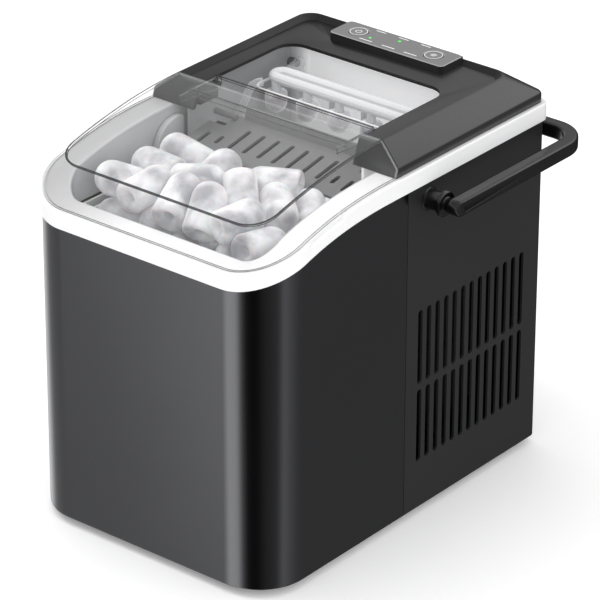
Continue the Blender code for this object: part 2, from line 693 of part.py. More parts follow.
def make_panel():
    inset = 2.0
    half = PANEL_WIDTH / 2 - inset
    low = PANEL_TOP + GAP
    high = low + OVERLAY_THICK
    outline = rounded_outline(-half, half, PANEL_FRONT + inset + 0.6, RIM_REAR - inset + 0.8, (3.5,) * 4, 4)
    overlay = add("control_overlay", prism(outline, low, high), PANEL_GREY)
    for side, name in ((-1, "button_power"), (1, "button_select")):
        x = side * BUTTON_SPACING / 2
        well = rod((x, PANEL_MID, low - 3), (x, PANEL_MID, high + 3), BUTTON_RADIUS + SLIDING_CLEARANCE, 28)
        cut(overlay, add(f"{name}_hole", well, collection=cutters))
        bottom = high - BUTTON_HEIGHT
        cap = turned([(0, bottom), (BUTTON_RADIUS, bottom), (BUTTON_RADIUS, high - 0.2),
                      (BUTTON_RADIUS - 0.4, high), (0, high)], (x, PANEL_MID, 0), "Z", 28)
        add(name, cap, PANEL_GREY, origin=(x, PANEL_MID, bottom))
    for x, names in zip(LIGHT_COLUMNS, LIGHT_NAMES):
        for side, name in zip((-1, 1), names):
            y = PANEL_MID + side * LIGHT_ROW_HALF_GAP
            well = rod((x, y, low - 3), (x, y, high + 3), LIGHT_RADIUS + GAP / 2, 12)
            cut(overlay, add(f"light_hole_{name}", well, collection=cutters))
            dome = [(0, low + 0.05), (LIGHT_RADIUS, low + 0.05), (LIGHT_RADIUS, high - 0.1), (0, high + 0.1)]
            add(f"light_{name}", turned(dome, (x, y, 0), "Z", 12), GREEN)
    board_top = RECESS_FLOOR - COVER_WALL - 2.0
    board = box((-half, PANEL_FRONT + 2, board_top - 1.6), (half, RIM_REAR - 10, board_top))
    add("control_board", board, BOARD)


# ---------------------------------------------------------------- lid
def make_lid():
    """A thin clear shell with sloping sides and a flat top, and a tongue back to the hinge."""
    rim_inset = 0.6

    def rear_y(z):
        share = (z - COVER_BOTTOM) / (COVER_TOP - COVER_BOTTOM)
        return COVER_FRONT + COVER_LEAN * share - LID_GAP

    steps = 16

    def lower(z_of, z_back):
        path = body_path(rim_inset, rear_y(z_back), side_steps=steps)
        edge = body_path(0.0, rear_y(z_back), side_steps=steps)
        return [(x, y, z_of(edge_y)) for (x, y), (_, edge_y) in zip(path, edge)]

    top_path = body_path(0.0, rear_y(COVER_TOP), side_steps=steps, front=FRONT + LID_FRONT_RUN,
                         radius=LID_TOP_RADIUS, half_w=RIM_HALF_W)
    bottom_z = COVER_BOTTOM
    rings = [
        lower(lambda y: rim_z(y) + GAP, bottom_z),
        lower(lambda y: rim_z(y) + GAP + LID_SKIRT, bottom_z + LID_SKIRT),
        [(x, y, lid_top_z(y)) for x, y in top_path],
    ]
    bm = ring_loft(rings, closed=False)
    bm.verts.ensure_lookup_table()
    count = len(top_path)
    top = [bm.verts[2 * count + i] for i in range(count)]
    for i in range(count // 2 - 1):
        bm.faces.new((top[i], top[i + 1], top[count - 2 - i], top[count - 1 - i]))
    lid = add("lid", bm, CLEAR, origin=(0, HINGE_Y, HINGE_Z), smooth=25.0)
    wall = lid.modifiers.new("wall", "SOLIDIFY")
    wall.thickness = LID_WALL * MM
    wall.offset = -1.0
    wall.use_even_offset = True
    tongue_half = OPENING_HALF_WIDTH - TONGUE_CLEARANCE
    tongue_top = RECESS_FLOOR + 0.6
    web_y = rear_y(COVER_TOP) - 12.0
    tongue = box((-tongue_half, web_y, tongue_top - LID_WALL), (tongue_half, HINGE_Y - 1.0, tongue_top))
    web = box((-tongue_half, web_y, tongue_top - LID_WALL),
              (tongue_half, web_y + LID_WALL, COVER_TOP - LID_WALL / 2))
    join(lid, add("lid_tongue", tongue, collection=cutters), add("lid_web", web, collection=cutters))
    lug_radius = HINGE_PIN_RADIUS + 2.8
    for side in (-1, 1):
        x0, x1 = sorted((side * tongue_half, side * (tongue_half - 2.4)))
        outline = [(HINGE_Y - 33.0, tongue_top - 0.5), (HINGE_Y - 30.0, tongue_top - 7.0),
                   (HINGE_Y - 3.0, HINGE_Z - lug_radius * 0.9)]
        for i in range(7):
            a = math.radians(-80 + 160 * i / 6)
            outline.append((HINGE_Y + lug_radius * math.cos(a), HINGE_Z + lug_radius * math.sin(a)))
        outline.append((HINGE_Y - 2.0, tongue_top - 0.5))
        rib = add(f"lid_rib_{side + 1}", side_prism(outline, x0, x1), collection=cutters)
        join(lid, rib)
        bore = rod((x0 - 3, HINGE_Y, HINGE_Z), (x1 + 3, HINGE_Y, HINGE_Z),
                   HINGE_PIN_RADIUS + PIVOT_CLEARANCE, 16)
        cut(lid, add(f"lid_bore_{side + 1}", bore, collection=cutters))


# ---------------------------------------------------------------- handle
def make_handle():
    """A U of one soft-edged bar, with an eye at each end that turns on its pivot."""
    mid_x = (HANDLE_INNER + HANDLE_OUTER) / 2
    mid_y = HANDLE_REAR - HANDLE_WIDTH / 2
    radius = HANDLE_CORNER - HANDLE_WIDTH / 2
    h = HANDLE_PIVOT_HEIGHT
    bend_steps = 8
    line = [((-mid_x, HANDLE_PIVOT_Y, h), (-1, 0)), ((-mid_x, mid_y - radius, h), (-1, 0))]
    for i in range(1, bend_steps):
        a = math.pi / 2 * i / bend_steps
        spot = (-mid_x + radius - radius * math.cos(a), mid_y - radius + radius * math.sin(a), h)
        line.append((spot, (-math.cos(a), math.sin(a))))
    line.append(((-mid_x + radius, mid_y, h), (0, 1)))
    line += [((-x, y, z), (-nx, ny)) for (x, y, z), (nx, ny) in reversed(line)]
    half_w, half_h, ease = HANDLE_WIDTH / 2, HANDLE_HEIGHT / 2, 1.6
    flat_w, flat_h = half_w - ease, half_h - ease
    section = [(flat_w, -half_h), (half_w, -flat_h), (half_w, flat_h), (flat_w, half_h),
               (-flat_w, half_h), (-half_w, flat_h), (-half_w, -flat_h), (-flat_w, -half_h)]
    handle = add("handle", swept(line, section), BLACK, origin=(0, HANDLE_PIVOT_Y, h))
    for side in (-1, 1):
        disc = [(0, -half_w), (flat_h, -half_w), (half_h, -flat_w), (half_h, flat_w),
                (flat_h, half_w), (0, half_w)]
        eye = turned(disc, (side * mid_x, HANDLE_PIVOT_Y, h), "X", 24)
        join(handle, add(f"handle_eye_{side + 1}", eye, collection=cutters))
        bore = rod((side * (HANDLE_INNER - 5), HANDLE_PIVOT_Y, h),
                   (side * (HANDLE_INNER + 7.6), HANDLE_PIVOT_Y, h), PIVOT_NECK_RADIUS + PIVOT_CLEARANCE, 20)
        cut(handle, add(f"handle_bore_{side + 1}", bore, collection=cutters))


def make_handle_pivots():
    """Stepped studs on the housing's sides: boss, flange and the neck that the handle turns on."""
    boss, flange, neck = 7.0, 9.5, PIVOT_NECK_RADIUS
    for label, side in (("left", -1), ("right", 1)):
        stop, tip = HANDLE_STANDOFF - GAP, HANDLE_STANDOFF + 7.0
        profile = [(0, GAP), (boss + 1.5, GAP), (boss, 1.6), (boss, 11.6), (flange, 12.4), (flange, 14.6),
                   (flange - 1, 15.4), (boss - 2, 15.4), (boss - 2, stop), (neck, stop), (neck, tip),
                   (0, tip)]
        outwards = [(r, side * (HALF_W + h)) for r, h in profile]
        bm = turned(outwards, (0, HANDLE_PIVOT_Y, HANDLE_PIVOT_HEIGHT), "X", 24)
        add(f"handle_pivot_{label}", bm, BLACK)


# ---------------------------------------------------------------- inside: tub, bay, foam, basket
def make_tub():
    r = 14.0
    outline = rounded_outline(-TUB_HALF_W, TUB_HALF_W, TUB_FRONT, TUB_REAR, (r, r, 4, 4), 4)
    inner = rounded_outline(TUB_WALL - TUB_HALF_W, TUB_HALF_W - TUB_WALL, TUB_FRONT + TUB_WALL,
                            TUB_REAR - TUB_WALL, (r - TUB_WALL, r - TUB_WALL, 2, 2), 4)
    tub = add("inner_tub", prism(outline, TUB_FLOOR_HEIGHT, TUB_TOP_HEIGHT), LINER)
    hollow = prism(inner, TUB_FLOOR_HEIGHT + TUB_WALL, TUB_TOP_HEIGHT + 20)
    cut(tub, add("tub_hollow", hollow, collection=cutters))
    gap = box((-TUB_HALF_W - 5, TUB_REAR - TUB_WALL - 3, TUB_REAR_WALL_HEIGHT),
              (TUB_HALF_W + 5, TUB_REAR + 5, TUB_TOP_HEIGHT + 20))
    cut(tub, add("tub_rear_gap", gap, collection=cutters))


def make_bay():
    """The open-fronted box behind the tub, where the ice is made."""
    wall = TUB_WALL
    top = RECESS_FLOOR - COVER_WALL - GAP
    half = BAY_HALF_WIDTH
    r = OPENING_RADIUS
    outline = rounded_outline(-half - wall, half + wall, BAY_FRONT, BAY_REAR + wall, (0, 0, r, r), 5)
    inner = rounded_outline(-half, half, BAY_FRONT - 10, BAY_REAR, (0, 0, r - wall, r - wall), 5)
    bay = add("evaporator_bay", prism(outline, BAY_FLOOR_HEIGHT - wall, top), LINER)
    cut(bay, add("bay_hollow", prism(inner, BAY_FLOOR_HEIGHT, top + 10), collection=cutters))
    step = box((-half - 10, BAY_FRONT - 5, top - 16.6), (half + 10, HINGE_Y + 6.0, top + 10))
    cut(bay, add("bay_hinge_step", step, collection=cutters))
    tray_bore = rod((-half - 6, TRAY_AXIS_Y, TRAY_RIM), (half + 6, TRAY_AXIS_Y, TRAY_RIM),
                    TRAY_PIN_RADIUS + PIVOT_CLEARANCE, 16)
    cut(bay, add("tray_bore", tray_bore, collection=cutters))
    shovel_bore = rod((-half - 6, SHOVEL_AXIS_Y, SHOVEL_AXIS_Z), (half + 6, SHOVEL_AXIS_Y, SHOVEL_AXIS_Z),
                      SHOVEL_PIN_RADIUS + PIVOT_CLEARANCE, 16)
    cut(bay, add("shovel_bore", shovel_bore, collection=cutters))
    for i, y in enumerate(EVAPORATOR_ROWS):
        port = rod((half - 5, y, TUBE_Z), (half + 6, y, TUBE_Z), EVAPORATOR_TUBE_RADIUS + GAP, 16)
        cut(bay, add(f"tube_port_{i}", port, collection=cutters))


def make_foam():
    """Foam round the sides and bottom of the tub, under the collar's apron."""
    gap = 0.6
    out = FOAM_THICK
    top = TUB_TOP_HEIGHT - 6.0
    r = 14.0
    outline = rounded_outline(-TUB_HALF_W - out, TUB_HALF_W + out, TUB_FRONT - out, TUB_REAR,
                              (r + out, r + out, 0, 0), 4)
    inner = rounded_outline(-TUB_HALF_W - gap, TUB_HALF_W + gap, TUB_FRONT - gap, TUB_REAR + 5,
                            (r + gap, r + gap, 0, 0), 4)
    foam = add("tub_foam", prism(outline, TUB_FLOOR_HEIGHT - out, top), FOAM)
    cut(foam, add("foam_hollow", prism(inner, TUB_FLOOR_HEIGHT - gap, top + 10), collection=cutters))


def make_basket():
    """A tapered bin with drain slots in its floor, hanging in the tub."""
    half = TUB_HALF_W - TUB_WALL - BASKET_CLEARANCE
    front = TUB_FRONT + TUB_WALL + BASKET_CLEARANCE
    rear = TUB_REAR - TUB_WALL - BASKET_BEHIND
    top = TUB_TOP_HEIGHT - 2.0
    bottom = top - BASKET_HEIGHT
    taper = 3.0

    def ring(inset, z):
        radii = (12 - inset / 2, 12 - inset / 2, 6 - inset / 3, 6 - inset / 3)
        outline = rounded_outline(inset - half, half - inset, front + inset, rear - inset, radii, 4)
        return [(x, y, z) for x, y in outline]

    basket = add("ice_basket", ring_loft([ring(taper, bottom), ring(0.0, top)]), WHITE)
    hollow = ring_loft([ring(taper + BASKET_WALL, bottom + BASKET_WALL), ring(BASKET_WALL, top + 4)])
    cut(basket, add("basket_hollow", hollow, collection=cutters))
    half_slot, margin = BASKET_SLOT_WIDTH / 2, 22.0
    slots = []
    for i in range(BASKET_SLOTS):
        x = (i - (BASKET_SLOTS - 1) / 2) * BASKET_SLOT_PITCH
        outline = rounded_outline(x - half_slot, x + half_slot, front + margin, rear - margin, (2,) * 4, 1)
        slots.append(prism(outline, bottom - 5, bottom + 8))
    cut(basket, add("basket_drains", merged(slots), collection=cutters))


# ---------------------------------------------------------------- ice making
def make_evaporator():
    """A bent refrigerant tube with the freezing fingers brazed under it, one piece."""
    near, far = EVAPORATOR_ROWS
    out = BAY_HALF_WIDTH + TUBE_STICK_OUT
    turn_x = -TRAY_HALF_LENGTH + 7.0
    bend = (far - near) / 2
    line = [((out, near, TUBE_Z), (0, -1)), ((turn_x + bend, near, TUBE_Z), (0, -1))]
    for i in range(1, 8):
        a = math.pi * i / 8
        spot = (turn_x + bend - bend * math.sin(a), near + bend - bend * math.cos(a), TUBE_Z)
        line.append((spot, (-math.sin(a), -math.cos(a))))
    line += [((turn_x + bend, far, TUBE_Z), (0, 1)), ((out, far, TUBE_Z), (0, 1))]
    r, sides = EVAPORATOR_TUBE_RADIUS, 12
    angles = [2 * math.pi * k / sides for k in range(sides)]
    tube = add("evaporator", swept(line, [(r * math.cos(a), r * math.sin(a)) for a in angles]), STEEL)
    tip = TUBE_Z - FINGER_LENGTH
    fr = FINGER_RADIUS
    for y, count in ((near, FINGER_COUNT_FRONT), (far, FINGER_COUNT_FRONT - 1)):
        for i in range(count):
            x = (i - (count - 1) / 2) * FINGER_PITCH
            finger = turned([(0, tip), (fr * 0.6, tip + 0.6), (fr, tip + 3), (fr, TUBE_Z), (0, TUBE_Z)],
                            (x, y, 0), "Z", 12)
            join(tube, add(f"finger_{y:.0f}_{i}", finger, collection=cutters))


def make_water_tray():
    """The trough that the fingers freeze in. It swings down about an axis behind it."""
    top, depth, width = TRAY_RIM, TRAY_DEPTH, TRAY_WIDTH
    front, rear = TRAY_FRONT, TRAY_FRONT + width

    def trough(inset, above):
        r = width / 2 - inset
        mid = (front + rear) / 2
        outline = [(rear - inset, top + above)]
        for i in range(9):
            a = -math.pi * i / 8
            outline.append((mid + r * math.cos(a), top - depth + width / 2 + r * math.sin(a)))
        outline.append((front + inset, top + above))
        return outline

    half = TRAY_HALF_LENGTH
    tray = add("water_tray", side_prism(trough(0, 0), -half, half), CLEAR, origin=(0, TRAY_AXIS_Y, TRAY_RIM))
    hollow = side_prism(trough(TRAY_WALL, 5), -half + TRAY_WALL, half - TRAY_WALL)
    cut(tray, add("tray_hollow", hollow, collection=cutters))
    for side in (-1, 1):
        x0, x1 = sorted((side * half, side * (half - 3.0)))
        r = TRAY_PIN_RADIUS + 2.5
        outline = [(rear - 3, top - 14), (TRAY_AXIS_Y, top - r)]
        for i in range(1, 7):
            a = math.radians(-90 + 180 * i / 6)
            outline.append((TRAY_AXIS_Y + r * math.cos(a), top + r * math.sin(a)))
        outline.append((rear - 3, top - 1))
        join(tray, add(f"tray_arm_{side + 1}", side_prism(outline, x0, x1), collection=cutters))
        pin = rod((side * (half - 2), TRAY_AXIS_Y, top),
                  (side * (BAY_HALF_WIDTH + TUB_WALL), TRAY_AXIS_Y, top), TRAY_PIN_RADIUS, 16)
        join(tray, add(f"tray_pin_{side + 1}", pin, collection=cutters))


def make_shovel():
    """The slotted plate that lifts fresh ice over into the basket."""
    half = BAY_HALF_WIDTH - 2.0
    slope = math.tan(math.radians(SHOVEL_SLOPE))
    rear, front = SHOVEL_REAR_Y, SHOVEL_REAR_Y - SHOVEL_LENGTH

    def z_at(y):
        return SHOVEL_REAR_Z + (y - rear) * slope

    wing = rear - 15.0
    lip_half = 61.0
    lip_back = 1.5
    outline = [(-half, front), (half, front), (half, wing), (lip_half, wing), (lip_half, rear),
               (-lip_half, rear), (-lip_half, wing), (-half, wing)]
    lower = [(x, y, z_at(y) - SHOVEL_THICK) for x, y in outline]
    upper = [(x, y, z_at(y)) for x, y in outline]
    shovel = add("ice_shovel", ring_loft([lower, upper]), GREY, origin=(0, SHOVEL_AXIS_Y, SHOVEL_AXIS_Z))
    low, high = SHOVEL_REAR_Z - SHOVEL_THICK, SHOVEL_REAR_Z + SHOVEL_LIP
    lip = [(rear - SHOVEL_THICK, low), (rear, low), (rear + lip_back, high),
           (rear + lip_back - SHOVEL_THICK, high)]
    join(shovel, add("shovel_lip", side_prism(lip, -lip_half + 8, lip_half - 8), collection=cutters))
    half_slot = SHOVEL_SLOT_WIDTH / 2
    slot_rear = rear - 11.5
    places = []
    for i in range(SHOVEL_SLOTS):
        places.append(((i - (SHOVEL_SLOTS - 1) / 2) * SHOVEL_PITCH, slot_rear, SHOVEL_SLOT_LENGTH))
    for side in (-1, 1):
        places += [(side * 52.5, wing - 11, 10.0), (side * 65.0, wing - 11, 14.0)]
    slots = []
    for x, y, length in places:
        outline = rounded_outline(x - half_slot, x + half_slot, y - length, y, (1.5,) * 4, 2)
        slots.append(prism(outline, SHOVEL_REAR_Z - 30, SHOVEL_REAR_Z + 5))
    cut(shovel, add("shovel_slots", merged(slots), collection=cutters))
    for side in (-1, 1):
        ear = rod((side * (lip_half - 3), SHOVEL_AXIS_Y, SHOVEL_AXIS_Z),
                  (side * (BAY_HALF_WIDTH + TUB_WALL), SHOVEL_AXIS_Y, SHOVEL_AXIS_Z), SHOVEL_PIN_RADIUS, 16)
        join(shovel, add(f"shovel_pin_{side + 1}", ear, collection=cutters))


def make_tray_motor():
    x = -BAY_HALF_WIDTH - TUB_WALL - GAP
    depth = 18.0
    z = TRAY_RIM
    can = rod((x, TRAY_AXIS_Y + 2, z - 6), (x - depth, TRAY_AXIS_Y + 2, z - 6), 13.0, 24)
    motor = add("tray_motor", can, GREY)
    ear = box((x - 3, TRAY_AXIS_Y - 20, z - 9), (x, TRAY_AXIS_Y + 24, z - 3))
    join(motor, add("motor_ears", ear, collection=cutters))


def make_pump():
    low = TUB_FLOOR_HEIGHT + TUB_WALL + GAP
    y = TUB_REAR - TUB_WALL - 19
    x = -TUB_HALF_W + TUB_WALL + 26
    body = add("water_pump", box((x - 17, y - 17, low), (x + 17, y + 17, low + 26)), ENAMEL)
    spout = rod((x, y + 10, low + 20), (x, y + 10, low + 36), 4.0, 16)
    join(body, add("pump_spout", spout, collection=cutters))
    bevel(body, 1.5, 2)
    rear = TUB_REAR - TUB_WALL - 6.0
    hose_x = -BAY_HALF_WIDTH + 7.0
    route = [(x, y + 10, low + 37.0), (x, y + 10, low + 42), (x - 2, rear, low + 52),
             (hose_x, rear, low + 80),
             (hose_x, rear, TUB_REAR_WALL_HEIGHT), (hose_x, rear + 10, TUB_REAR_WALL_HEIGHT + 20),
             (hose_x, TRAY_FRONT - 22, TUB_REAR_WALL_HEIGHT + 34),
             (hose_x + 2, TRAY_FRONT - 12, TRAY_RIM - 12),
             (hose_x + 5, TRAY_FRONT - 5, TRAY_RIM + 3), (hose_x + 9, TRAY_FRONT + 2, TRAY_RIM + 4.6)]
    pipe("pump_hose", route, PIPE_RADIUS, CLEAR, spacing=8)


def make_sensors():
    x = TUB_HALF_W - TUB_WALL - GAP
    float_body = turned([(0, 0), (6, 0), (7, 1), (7, 13), (6, 14), (2, 14), (2, 20), (0, 20)],
                        (x - 12, TUB_FRONT + 60, TUB_FLOOR_HEIGHT + TUB_WALL + GAP), "Z", 16)
    add("float_sensor", float_body, WHITE)
    eye = box((-x, TUB_FRONT + 30, TUB_TOP_HEIGHT - 22), (-x + 3.2, TUB_FRONT + 46, TUB_TOP_HEIGHT - 10))
    bevel(add("ice_full_sensor", eye, ENAMEL), 0.8, 1)


# ---------------------------------------------------------------- machinery under and behind the bay
def make_compressor():
    r, h = COMPRESSOR_RADIUS, COMPRESSOR_HEIGHT
    profile = [(0, 0), (r * 0.6, 1), (r * 0.9, 7), (r, 18), (r, h * 0.48),
               (r + 2.5, h * 0.49), (r + 2.5, h * 0.53),
               (r, h * 0.54), (r, h - 26), (r * 0.93, h - 13), (r * 0.68, h - 4), (r * 0.3, h - 0.6), (0, h)]
    comp = add("compressor", turned(profile, (COMPRESSOR_X, COMPRESSOR_Y, COMPRESSOR_BASE), "Z", 28), ENAMEL)
    reach = COMPRESSOR_RADIUS + 7
    arm_low = COMPRESSOR_BASE + 5.0
    for i in range(3):
        a = math.radians(90 + 120 * i)
        x, y = COMPRESSOR_X + math.cos(a) * reach, COMPRESSOR_Y + math.sin(a) * reach
        foot = rod((x, y, arm_low), (x, y, arm_low + 4), 7.0, 14)
        arm = box((-reach + 8, -5, arm_low + 0.5), (1, 5, arm_low + 3.5))
        turn = Matrix.Translation((x, y, 0)) @ Matrix.Rotation(a, 4, "Z")
        bmesh.ops.transform(arm, matrix=turn, verts=arm.verts)
        join(comp, add(f"compressor_arm_{i}", arm, collection=cutters),
             add(f"compressor_foot_{i}", foot, collection=cutters))
        top = arm_low - GAP
        mount = turned([(0, 3 + GAP), (7, 3 + GAP), (6, 9), (6, 16), (7, top), (0, top)], (x, y, 0), "Z", 14)
        add(f"compressor_mount_{i + 1}", mount, RUBBER)


def make_condenser():
    """A finned block behind the left vents, its fins seen as a comb from above."""
    y0, y1 = FAN_Y - CONDENSER_HALF + 2, FAN_Y + CONDENSER_HALF - 2
    pitch = (y1 - y0) / CONDENSER_FINS
    x0, x1 = CONDENSER_X, CONDENSER_X + CONDENSER_THICK
    spine = x0 + 5.0
    outline = [(x0, y0)]
    for i in range(CONDENSER_FINS):
        y = y0 + i * pitch
        outline += [(x1, y), (x1, y + pitch * 0.35), (spine, y + pitch * 0.35), (spine, y + pitch)]
    outline += [(x1, y1), (x1, y1 + 3), (x0, y1 + 3)]
    add("condenser", prism(outline, FAN_Z - CONDENSER_HALF, FAN_Z + CONDENSER_HALF), ALUMINIUM)


def fan_blade(x, heading):
    """One blade: a slab twisted about the fan's axis, wider at the hub."""
    half_pitch, half_thick, root = 5.0, 0.8, 11.0
    rings = []
    for r, sweep in ((root, 26.0), (FAN_RADIUS, 20.0)):
        ring = []
        for t, thick in ((-1, -half_thick), (1, -half_thick), (1, half_thick), (-1, half_thick)):
            a = math.radians(heading + t * sweep)
            ring.append((x + t * half_pitch + thick, FAN_Y + r * math.cos(a), FAN_Z + r * math.sin(a)))
        rings.append(ring)
    return ring_loft(rings)


def make_fan():
    half = FAN_RADIUS + 10
    x0 = SHROUD_X
    plate = box((x0, FAN_Y - half, FAN_Z - half), (x0 + 3, FAN_Y + half, FAN_Z + half))
    shroud = add("fan_shroud", plate, BLACK)
    hole = rod((x0 - 5, FAN_Y, FAN_Z), (x0 + 25, FAN_Y, FAN_Z), FAN_RADIUS + 2, 32)
    ring = rod((x0 + 1, FAN_Y, FAN_Z), (x0 + 15, FAN_Y, FAN_Z), FAN_RADIUS + 4.5, 32)
    join(shroud, add("shroud_ring", ring, collection=cutters))
    cut(shroud, add("shroud_hole", hole, collection=cutters))
    hub = turned([(0, 0), (12, 0), (13, 2), (13, 14), (0, 14)], (x0 + 2, FAN_Y, FAN_Z), "X", 20)
    fan = add("fan_blades", hub, BLACK, origin=(x0 + 9, FAN_Y, FAN_Z))
    for i in range(FAN_BLADES):
        join(fan, add(f"fan_blade_{i}", fan_blade(x0 + 9, 360 / FAN_BLADES * i), collection=cutters))
    profile = [(0, 0), (3, 0), (3, 4), (15, 4), (16, 5), (16, 24), (14, 26), (0, 26)]
    motor = add("fan_motor", turned(profile, (x0 + 16 + GAP, FAN_Y, FAN_Z), "X", 20), ENAMEL)
    strut = box((x0 + 24, FAN_Y - 5, FAN_Z - half), (x0 + 27, FAN_Y + 5, FAN_Z + half))
    foot_low = box((x0 + 3 + GAP, FAN_Y - 5, FAN_Z - half), (x0 + 26, FAN_Y + 5, FAN_Z - half + 3))
    foot_high = box((x0 + 3 + GAP, FAN_Y - 5, FAN_Z + half - 3), (x0 + 26, FAN_Y + 5, FAN_Z + half))
    for i, bar in enumerate((strut, foot_low, foot_high)):
        join(motor, add(f"motor_bracket_{i}", bar, collection=cutters))


def make_lines():
    """The copper lines: from the evaporator to the compressor, and on to the condenser."""
    far = EVAPORATOR_ROWS[1]
    side = BAY_HALF_WIDTH + TUBE_STICK_OUT + GAP + PIPE_RADIUS
    top = COMPRESSOR_BASE + COMPRESSOR_HEIGHT
    suction = [(side, far, TUBE_Z + 3), (side, far, TUBE_Z - 12), (side, far + 3, 220),
               (side, COMPRESSOR_Y - 6, top + 16), (side - 8, COMPRESSOR_Y, top + 10),
               (COMPRESSOR_X + 20, COMPRESSOR_Y, top + 8), (COMPRESSOR_X + 16, COMPRESSOR_Y, top + 0.6)]
    pipe("suction_line", suction, PIPE_RADIUS, COPPER, spacing=5)
    end_x, end_y = CONDENSER_X + 6, FAN_Y + CONDENSER_HALF
    discharge = [(COMPRESSOR_X - 16, COMPRESSOR_Y + 5, top + 0.6),
                 (COMPRESSOR_X - 20, COMPRESSOR_Y + 7, top + 10),
                 (COMPRESSOR_X - 44, COMPRESSOR_Y + 22, top + 12), (-30, REAR - 24, top + 6),
                 (-70, REAR - 18, top - 6), (end_x, REAR - 14, 140), (end_x, end_y + 8, 80),
                 (end_x, end_y + 5.6, 76)]
    pipe("discharge_line", discharge, PIPE_RADIUS, COPPER)


make_base_tray()
make_feet()
make_drain_plug()
make_front_shell()
make_rear_housing()
make_cord_gland()
make_collar()
make_top_cover()
make_hinge_blocks()
make_panel()
make_lid()
make_handle()
make_handle_pivots()
make_tub()
make_bay()
make_foam()
make_basket()
make_evaporator()
make_water_tray()
make_shovel()
make_tray_motor()
make_pump()
make_sensors()
make_compressor()
make_condenser()
make_fan()
make_lines()
bpy.context.view_layer.update()
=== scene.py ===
# %% [markdown]
# A countertop ice maker, dressed for a close look.
# The frame holds every solid piece of the machine at its real size, already joined by its hinges and slides.
# This lesson builds the visible surfaces round that frame: a satin metal body, a white collar, a clear lid,
# a slotted scoop and a basket full of ice. Each step says what the real piece is and why it is made this way.

import math
import random

import bmesh
import bpy
from mathutils import Euler, Matrix, Vector


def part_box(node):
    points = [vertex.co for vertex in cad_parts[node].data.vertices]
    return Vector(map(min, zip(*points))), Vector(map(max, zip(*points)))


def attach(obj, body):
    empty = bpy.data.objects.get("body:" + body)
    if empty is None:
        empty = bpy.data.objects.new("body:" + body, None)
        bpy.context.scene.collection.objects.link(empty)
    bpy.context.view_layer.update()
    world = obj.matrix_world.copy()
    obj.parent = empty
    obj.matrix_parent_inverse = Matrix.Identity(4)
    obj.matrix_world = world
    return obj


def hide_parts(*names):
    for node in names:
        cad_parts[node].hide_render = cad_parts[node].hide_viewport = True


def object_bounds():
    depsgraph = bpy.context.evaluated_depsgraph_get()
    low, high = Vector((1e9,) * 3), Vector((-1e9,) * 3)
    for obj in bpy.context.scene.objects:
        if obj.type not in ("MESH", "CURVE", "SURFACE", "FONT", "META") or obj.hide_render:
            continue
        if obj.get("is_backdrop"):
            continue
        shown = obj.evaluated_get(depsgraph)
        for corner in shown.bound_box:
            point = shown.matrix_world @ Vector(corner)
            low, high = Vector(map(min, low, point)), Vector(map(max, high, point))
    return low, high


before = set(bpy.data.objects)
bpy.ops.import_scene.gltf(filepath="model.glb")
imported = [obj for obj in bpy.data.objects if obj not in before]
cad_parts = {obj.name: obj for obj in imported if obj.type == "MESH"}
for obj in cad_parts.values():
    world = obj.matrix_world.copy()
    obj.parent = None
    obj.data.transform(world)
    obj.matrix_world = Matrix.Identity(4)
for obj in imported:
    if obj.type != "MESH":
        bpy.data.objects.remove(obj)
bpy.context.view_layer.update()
scene = bpy.context.scene

# %% [markdown]
# Drawing in metres is clumsy for a machine this small, so the pieces are drawn in millimetres about the
# middle of the body's bottom edge. The shells, cover and feet in the frame say where that point is and how
# wide, deep and tall the body is, so nothing here has to be fitted by eye.

# %% The body's own measures, read from the frame
MM = 0.001


def span(node):
    """Lowest and highest corner of a frame piece, in millimetres."""
    low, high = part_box(node)
    return low / MM, high / MM


shell_low, shell_high = span("front_shell")
rear_low, rear_high = span("rear_housing")
FOOT_TOP = shell_low.z
BODY_MID_Y = (shell_low.y + rear_high.y) / 2
ORIGIN = Vector((0.0, BODY_MID_Y, FOOT_TOP))
HALF_W = shell_high.x
FRONT = shell_low.y - BODY_MID_Y
REAR = rear_high.y - BODY_MID_Y
SEAM = rear_low.y - BODY_MID_Y
GAP = 0.3


def local(node):
    """Lowest and highest corner of a frame piece, in millimetres from the body's bottom middle."""
    low, high = span(node)
    return low - ORIGIN, high - ORIGIN


print(f"body {2 * HALF_W:.0f} wide, {REAR - FRONT:.0f} deep, seam at {SEAM:.1f}")

# %% [markdown]
# The camera stands well back with a long lens, a little to the right of the front and above the lid.
# A long lens keeps the body's upright edges nearly parallel, the way such a machine is shown in a shop.

# %% Camera
CAMERA_AZIMUTH = math.radians(39.037)
CAMERA_HEIGHT_ANGLE = math.radians(26.781)
CAMERA_ROLL = math.radians(0.1677)
CAMERA_DISTANCE = 2818.85
CAMERA_LENS = 237.4
AIM = Vector((0.0, 0.0, 150.0))
SHIFT_RIGHT, SHIFT_UP = 9.85, -12.34

back = Vector((math.sin(CAMERA_AZIMUTH) * math.cos(CAMERA_HEIGHT_ANGLE),
               -math.cos(CAMERA_AZIMUTH) * math.cos(CAMERA_HEIGHT_ANGLE), math.sin(CAMERA_HEIGHT_ANGLE)))
right = Vector((math.cos(CAMERA_AZIMUTH), math.sin(CAMERA_AZIMUTH), 0.0))
up = back.cross(right)
rolled_right = right * math.cos(CAMERA_ROLL) + up * math.sin(CAMERA_ROLL)
rolled_up = up * math.cos(CAMERA_ROLL) - right * math.sin(CAMERA_ROLL)
stand = ORIGIN + AIM + back * CAMERA_DISTANCE + rolled_right * SHIFT_RIGHT + rolled_up * SHIFT_UP
camera = bpy.data.objects.new("camera", bpy.data.cameras.new("camera"))
scene.collection.objects.link(camera)
turn = Matrix((rolled_right, rolled_up, back)).transposed().to_4x4()
camera.matrix_world = Matrix.Translation(stand * MM) @ turn
camera.data.lens = CAMERA_LENS
camera.data.sensor_width = 36.0
